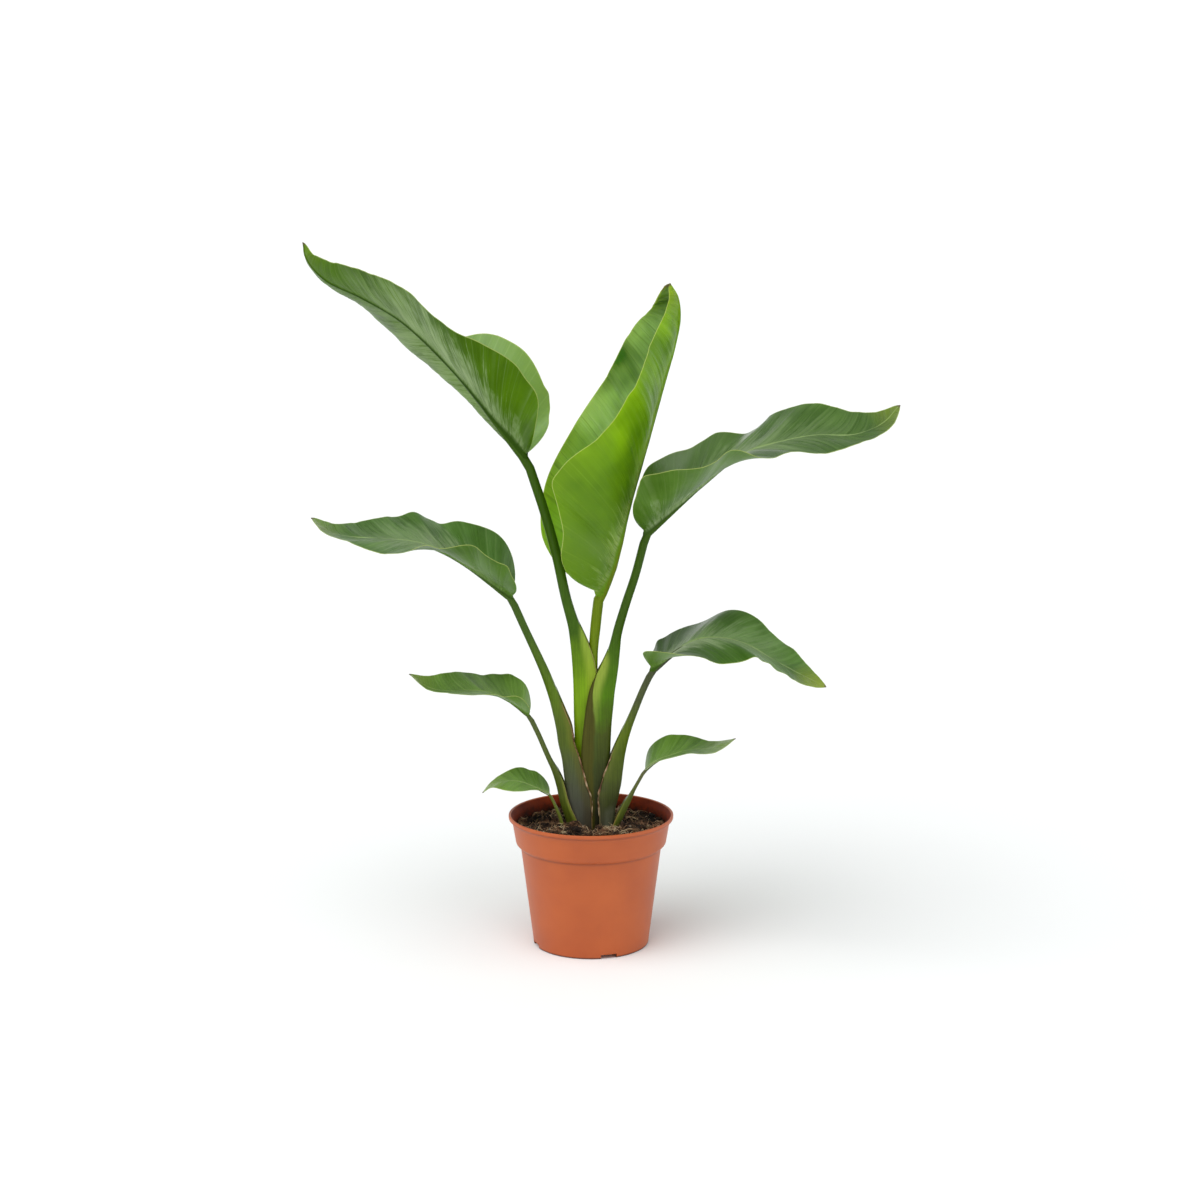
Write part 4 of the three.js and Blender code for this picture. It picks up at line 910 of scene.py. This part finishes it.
low_skins = (
    blade_skin(
        "waxy_low_leaf_upper", ("3a6012", "648e3e"), "8fa86a", 0.25, "b2c498", 0.8, "8fa86a", 0.32, 0.22,
        reach=1.3, far_share=0.6, foot="2e500e", tip=0.85),
    blade_skin(
        "bloomed_sheen_painted_low_leaf_underside", ("4c6e18", "6c923e"), "8fa46c", 0.25, "a4b680", 0.4, "3c5c10",
        0.4, 0.12),
)
grown_skins = (
    blade_skin(
        "waxy_grown_leaf_upper", ("42691c", "729456"), "a3bd7c", 0.3, "a3bd7c", 0.2, "8fae5c", 0.34, 0.3,
        foot="7e9e58"),
    # The grown underside's wide reach of bloom also paints sheen over the middle of the blade, lightening it
    # where it turns away from the light.
    blade_skin(
        "bloomed_sheen_painted_grown_leaf_underside", ("3a5c00", "527a02"), "87a169", 0.3, "a2b884", 0.65, "2f4e06",
        0.42, 0.08, reach=2.8, far_share=0.75, foot_bloom_and_sheen=(0.2, 4, 11), tip_bare=(50, 150), tip=0.15,
        rib_wide=1.5),
)
young_skins = (
    # The young upper face's vein lines are dark green: painted shade in the grooves between its pleats.
    blade_skin(
        "waxy_young_leaf_upper", ("224c00", "84a85c"), "1e3a00", 0.6, "a0bd70", 0.3, "8fae50", 0.34, 0.3,
        foot="6c9c0a", tip=0.1, streaks=0.45),
    blade_skin(
        "bloomed_sheen_painted_young_leaf_underside", ("588006", "84ae12"), "9cba48", 0.2, "b4c880", 0.45, "638a10",
        0.38, 0.14, reach=0.6, foot="587a20", foot_bloom_and_sheen=(1, 2, 15), streaks=0.5),
)
small_skins = (
    blade_skin(
        "waxy_small_leaf_upper", ("42680e", "769e40"), "8fac60", 0.25, "a2b880", 0.45, "8fac60",
        0.32, 0.35),
    blade_skin(
        "bloomed_sheen_painted_small_leaf_underside", ("466a0e", "668e32"), "8fa46c", 0.2, "8fa46c", 0.3, "4a6a14",
        0.4, 0.18),
)
# Light passes through the young blades, which are thin and unshaded.
for skin, share in ((young_skins[0], 0.45), (young_skins[1], 0.5), (grown_skins[0], 0.25)):
    lit = {"Subsurface Weight": share, "Subsurface Radius": (0.8, 1, 0.15), "Subsurface Scale": 3 * MM}
    plug(skin.node_tree.nodes["Principled BSDF"], lit)

# A stalk is a stiff, smooth, finely ribbed rod. Its foot widens to a channel of thin wings, which dull to
# olive and grey-brown where they are old, and whose margins have dried.
STALK_ARC = 30
STALK_INNER = 20
STALK_STEP = 2.5
WING_THICKNESS = 0.8
CLOSED_EDGE = 60
# Where the stalk runs out under the midrib: share of the midrib, depth and width over the ridge's height.
RUN_OUT = [(0, 0.65, 2.1), (0.035, 0.65, 2), (0.09, 0.62, 1.8), (0.17, 0.55, 1.5), (0.28, 0.4, 1)]


def between(rows, heights):
    """Smooth rows of values at heights, which never pass the rows' own values."""
    rows = np.asarray(rows, float)
    z = rows[:, 1]
    slopes = np.diff(rows, axis=0) / np.diff(z)[:, None]
    before, after = slopes[:-1], slopes[1:]
    same_way = before * after > 0
    inner = np.where(same_way, 2 * before * after / np.where(same_way, before + after, 1), 0)
    lean = np.concatenate([slopes[:1], inner, slopes[-1:]])
    i = np.clip(np.searchsorted(z, heights, side="right") - 1, 0, len(z) - 2)
    gap = (z[i + 1] - z[i])[:, None]
    return cubic(rows[i], rows[i + 1], lean[i] * gap, lean[i + 1] * gap, (heights - z[i])[:, None] / gap)


def stalk_rows(leaf):
    """Rows of a stalk: x, z, width, half depth, roundness and y, up to where it runs out in the ridge."""
    foot, last = leaf["stalk"][0][1], leaf["stalk"][-1][1]
    heights = np.linspace(foot, last, int((last - foot) / STALK_STEP) + 2)
    rows = np.column_stack([between(leaf["stalk"], heights), np.zeros(len(heights))])
    ends = []
    for share, drop, size in RUN_OUT:
        s = np.array(share)
        ridge = leaf["ridge"] * (1 - RIDGE_TAPER * share)
        point = on_midrib(leaf["line"], s) - drop * ridge * on_midrib(leaf["up"], s)
        width = size * ridge
        ends.append([point[0], point[2], width, width / 2, 1, point[1]])
    return np.concatenate([rows, ends])


def stalk_mesh(name, leaf, skin):
    """A stalk as rings of one closed section, a channel at its foot and an oval above it."""
    x, z, width, depth, roundness, y = stalk_rows(leaf).T[:, :, None]
    openness = np.clip((1 - roundness) / 0.9, 0, 1)
    flat_side = width / 2 * np.minimum(2 * openness, 1)
    outer = width / 2 + flat_side
    hollow = width * leaf["clasp"] * np.clip(2 * openness - 1, 0, 1) - (width / 2 - flat_side)
    slope = np.arctan2(np.gradient(x[:, 0]), np.gradient(z[:, 0]))[:, None]
    a = np.linspace(-np.pi / 2, np.pi / 2, STALK_ARC)[None, :]
    b = np.linspace(np.pi / 2, -np.pi / 2, STALK_INNER + 2)[None, 1:-1]
    wing = depth - WING_THICKNESS * openness
    across = np.concatenate([outer * np.cos(a), hollow * np.cos(b)], 1) - flat_side
    deep = np.concatenate([depth * np.sin(a), wing * np.sin(b)], 1) + y
    round_way = np.concatenate([np.cos(a), np.cos(b)], 1)
    # A stalk has margins only where its channel is open, so from_edge is far off wherever it is closed.
    from_edge = 1.4 * width * round_way + CLOSED_EDGE * (1 - openness) ** 2
    out = leaf["side"] * across
    points = np.stack([x + out * np.cos(slope), deep, z - out * np.sin(slope)], -1)
    rows, columns = points.shape[:2]
    caps = [list(range(columns))[::-1], list(range((rows - 1) * columns, rows * columns))]
    faces = [*grid_faces(rows, columns, closed=True).tolist(), *caps]
    if leaf["side"] < 0:
        faces = [face[::-1] for face in faces]
    marks = {"from_edge": from_edge * MM, "wing": (1 - round_way) * openness}
    made = make_piece(f"{name}_stalk", points.reshape(-1, 3), faces, [skin], leaf["slot"], marks=marks)
    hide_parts(name)


def stalk_skin(name, body, wing, wing_reach, dry, dry_reach):
    """The skin of a stalk. body and wing hold its colours at 110, 150, 220, 265 and 330 mm up. The
    darkest of them, low among the sheaths just above the soil, are partly painted shade.

    dry_reach is how far the dry margin reaches in, in millimetres, below 225 and above 285 mm up.
    """
    made, tree, shader = surface(name, ior=1.45, roughness=0.38, gloss=0.15)
    place = add(tree, "TexCoord", out="Object")
    height = add(tree, "SeparateXYZ", [place], out="Z")
    blotch = add(tree, "TexNoise", {"Vector": place, "Scale": per(22.2), "Detail": 4, "Roughness": 0.6})
    uneven = add(tree, "MapRange", [blotch, 0.3, 0.7, -10 * MM, 10 * MM])
    level = add(tree, "Math", [height, uneven], operation="ADD")
    share = add(tree, "MapRange", [level, 110 * MM, 330 * MM])
    ramps = []
    for foot, low, middle, high, top in (body, wing):
        levels = [(0, foot), (1, top), (0.18, low), (0.5, middle), (0.7, high)]
        ramps.append(add(tree, "ValToRGB", [share], levels))
    # Fibres run the length of the stalk, about 1 mm apart.
    stretched = add(tree, "VectorMath", [place, (1, 1, 0.03)], operation="MULTIPLY")
    fibres = add(tree, "TexNoise", {"Vector": stretched, "Scale": per(1.11), "Detail": 3})
    edge = add(tree, "Attribute", attribute_name="from_edge", out="Fac")
    winging = add(tree, "Attribute", attribute_name="wing", out="Fac")
    thin_at = [winging, 1 - wing_reach, 1 - 0.4 * wing_reach, 0, 0.95]
    thin = add(tree, "MapRange", thin_at, interpolation_type="SMOOTHSTEP")
    winged = add(tree, "MixRGB", [thin, *ramps])
    ragged = add(tree, "MapRange", [blotch, 0.35, 0.65, -0.3, 0.3])
    low_reach, high_reach = dry_reach[0] * MM, dry_reach[1] * MM
    reach = add(tree, "MapRange", [height, 225 * MM, 285 * MM, low_reach, high_reach])
    margin = add(tree, "MapRange", [edge, 0, reach, 5, -1], clamp=False)
    old = add(tree, "Math", [margin, ragged], operation="ADD", use_clamp=True)
    aged = add(tree, "MixRGB", [old, winged, dry])
    streak = add(tree, "MapRange", [fibres, 0.3, 0.7, 0.82, 1.1])
    streaked = add(tree, "MixRGB", [1, aged, streak], blend_type="MULTIPLY")
    bump = add(tree, "Bump", {"Height": fibres, "Strength": 0.3, "Distance": 0.25 * MM})
    plug(shader, {"Base Color": streaked, "Normal": bump})
    return made


stalk_skins = {
    "leaf_1": stalk_skin(
        "stalk_grown", ("3c4208", "6c7410", "6c8c0a", "749a12", "3c5c0e"),
        ("5c6a18", "7c8420", "7a8e14", "88a022", "86a038"), 0.6, "a9a85c", (1.4, 1.4)),
    "leaf_2": stalk_skin(
        "stalk_young", ("56660c", "5c6c0c", "5c7204", "607a08", "647a0a"),
        ("5c6a18", "6f8418", "6f8418", "6f8418", "6f8f20"), 0.4, "9aa850", (1, 1)),
    "leaf_3": stalk_skin(
        "stalk_brown_winged", ("1c1a12", "282c16", "465219", "507a0a", "3a580e"),
        ("2a2016", "33341a", "4c622c", "8aa03c", "94a640"), 0.62, "484814", (24, 0.8)),
    "leaf_4": stalk_skin(
        "stalk_olive", ("444238", "505246", "50601f", "58721c", "44601e"),
        ("36302a", "4a4632", "5c6420", "5a6a24", "5a6a24"), 0.5, "8a7446", (2, 2)),
    "leaf_5": stalk_skin(
        "stalk_purpled", ("6c6f62", "3e4422", "5c7018", "4c5434", "4c503e"),
        ("46443a", "44482a", "6a7a24", "5c6c28", "5c6c28"), 0.5, "8c8058", (1.6, 1.6)),
    "leaf_6": stalk_skin(
        "stalk_small_olive", ("34380f", "4a5614", "566430", "566038", "566038"),
        ("4c5214", "76802e", "707a3c", "5c6430", "5c6430"), 0.4, "8a7a4c", (1, 1)),
    "leaf_7": stalk_skin(
        "stalk_small_purpled", ("54660a", "5c682c", "6a5c5c", "7a6c70", "7a6c70"),
        ("74801c", "747c38", "6a5c5c", "7a6c70", "7a6c70"), 0.5, "b08c50", (1.6, 1)),
    "leaf_8": stalk_skin(
        "stalk_small_pale", ("667028", "748034", "6c8030", "6c8030", "6c8030"),
        ("8c9848", "98a454", "8c9848", "8c9848", "8c9848"), 0.4, "8a7a4c", (1, 1)),
}

# Dead tissue has torn from the old sheaths' margins and hangs there as thin, curled, papery strips.
dry_leaf, tree, shader = surface("dried_leaf_tissue", ior=1.45, roughness=0.7)
place = add(tree, "TexCoord", out="Object")
mixed = add(tree, "TexNoise", {"Vector": place, "Scale": per(9.1), "Detail": 4})
papery = add(tree, "ValToRGB", [mixed], [(0.38, "5a3a26"), (0.66, "c4ac88"), (0.52, "8c6848")])
plug(shader, {"Base Color": papery})
DRY_STRIPS = {"leaf_4": [(136, 182), (160, 204), (190, 230)], "leaf_5": [(136, 172), (160, 200)]}
STRIP_STEPS = 40
STRIP_THICKNESS = 0.14


def dry_strip(leaf, low, high):
    """A curled strip along the margin of a sheath, between two heights."""
    share = np.linspace(0, 1, STRIP_STEPS)
    x, z, width, depth, _ = between(leaf["stalk"], low + (high - low) * share).T
    tear = np.sin(np.pi * share) * (0.2 + 0.6 * chance.random())
    wave = 0.5 * np.sin(9 * share + 6 * chance.random()) + 0.3 * np.sin(23 * share + 6 * chance.random())
    line = np.stack([x - leaf["side"] * (width / 2 + tear + 0.5 * wave), wave - depth - 0.2, z], -1)
    wide = (0.3 + 0.6 * np.sin(np.pi * share) ** 0.5 * (1 + 0.3 * wave))[:, None]
    twist = (5 * share + 1.5 * wave + 6 * chance.random())[:, None]
    return strand(line, wide, STRIP_THICKNESS, twist, (0, 1, 0))


blade_skins = {"leaf_1": grown_skins, "leaf_2": young_skins, "leaf_4": shaded_skins, "leaf_5": low_skins}
blade_skins.update({name: small_skins for name in ("leaf_6", "leaf_7", "leaf_8")})
for name, leaf in LEAVES.items():
    leaf["slot"] = "young_leaf" if name == "leaf_2" else "leaf"
    blade_mesh(name, leaf, *blade_skins.get(name, old_skins))
    stalk_mesh(name, leaf, stalk_skins[name])
    if name in DRY_STRIPS:
        strips = joined(dry_strip(leaf, low, high) for low, high in DRY_STRIPS[name])
        make_piece(f"{name}_dried_margin", *strips, [dry_leaf], leaf["slot"])


# Studio: a pale floor with soft white light from all round and a large soft light high on the left, seen
# from the photograph's distance and height.

CAMERA_BACK = 2.2
CAMERA_HEIGHT = 0.75
CAMERA_RIGHT = 0.0093
CAMERA_PITCH = 10.03
FOCAL_PIXELS = 2200
IMAGE_PIXELS = 1200
SENSOR_MM = 36

camera = put("camera", bpy.data.cameras.new("camera"))
camera.data.sensor_width = SENSOR_MM
camera.data.lens = SENSOR_MM * FOCAL_PIXELS / IMAGE_PIXELS
camera.location = (AXIS[0] + CAMERA_RIGHT, AXIS[1] - CAMERA_BACK, CAMERA_HEIGHT)
camera.rotation_euler = (math.radians(90 - CAMERA_PITCH), 0, 0)
bpy.context.scene.camera = camera

FLOOR_HALF = 60
paper, tree, shader = surface("pale_paper", ior=1.45, roughness=0.9, gloss=0)
plug(shader, {"Base Color": "f6f8f8"})
floor_mesh = bpy.data.meshes.new("floor")
corners = [(x * FLOOR_HALF, y * FLOOR_HALF, 0) for x, y in ((-1, -1), (1, -1), (1, 1), (-1, 1))]
floor_mesh.from_pydata(corners, [], [(0, 1, 2, 3)])
floor_mesh.materials.append(paper)
floor = put("floor", floor_mesh)


def soft_sun(name, place, spread, strength):
    """A wide, soft light that comes from the direction of a place and reaches the whole floor alike."""
    lamp = put(name, bpy.data.lights.new(name, "SUN"))
    lamp.data.angle = math.radians(spread)
    lamp.data.energy = strength
    lamp.location = place
    lamp.rotation_euler = (-lamp.location).to_track_quat("-Z", "Y").to_euler()


soft_sun("key", (-1.2, -1.3, 3.3), 56, 2.05)
soft_sun("fill", (2.4, -1.2, 1.4), 90, 0.47)

# The room is white at eye level and dimmer overhead, where its ceiling is.
world = bpy.data.worlds.new("white_room")
world.use_nodes = True
tree = world.node_tree
upward = add(tree, "SeparateXYZ", [add(tree, "TexCoord", out="Generated")], out="Z")
glow = add(tree, "MapRange", [upward, 0.16, 0.4, 1.2, 0.42])
plug(tree.nodes["Background"], {"Color": "ffffff", "Strength": glow})
bpy.context.scene.world = world
bpy.context.scene.view_settings.view_transform = "Standard"
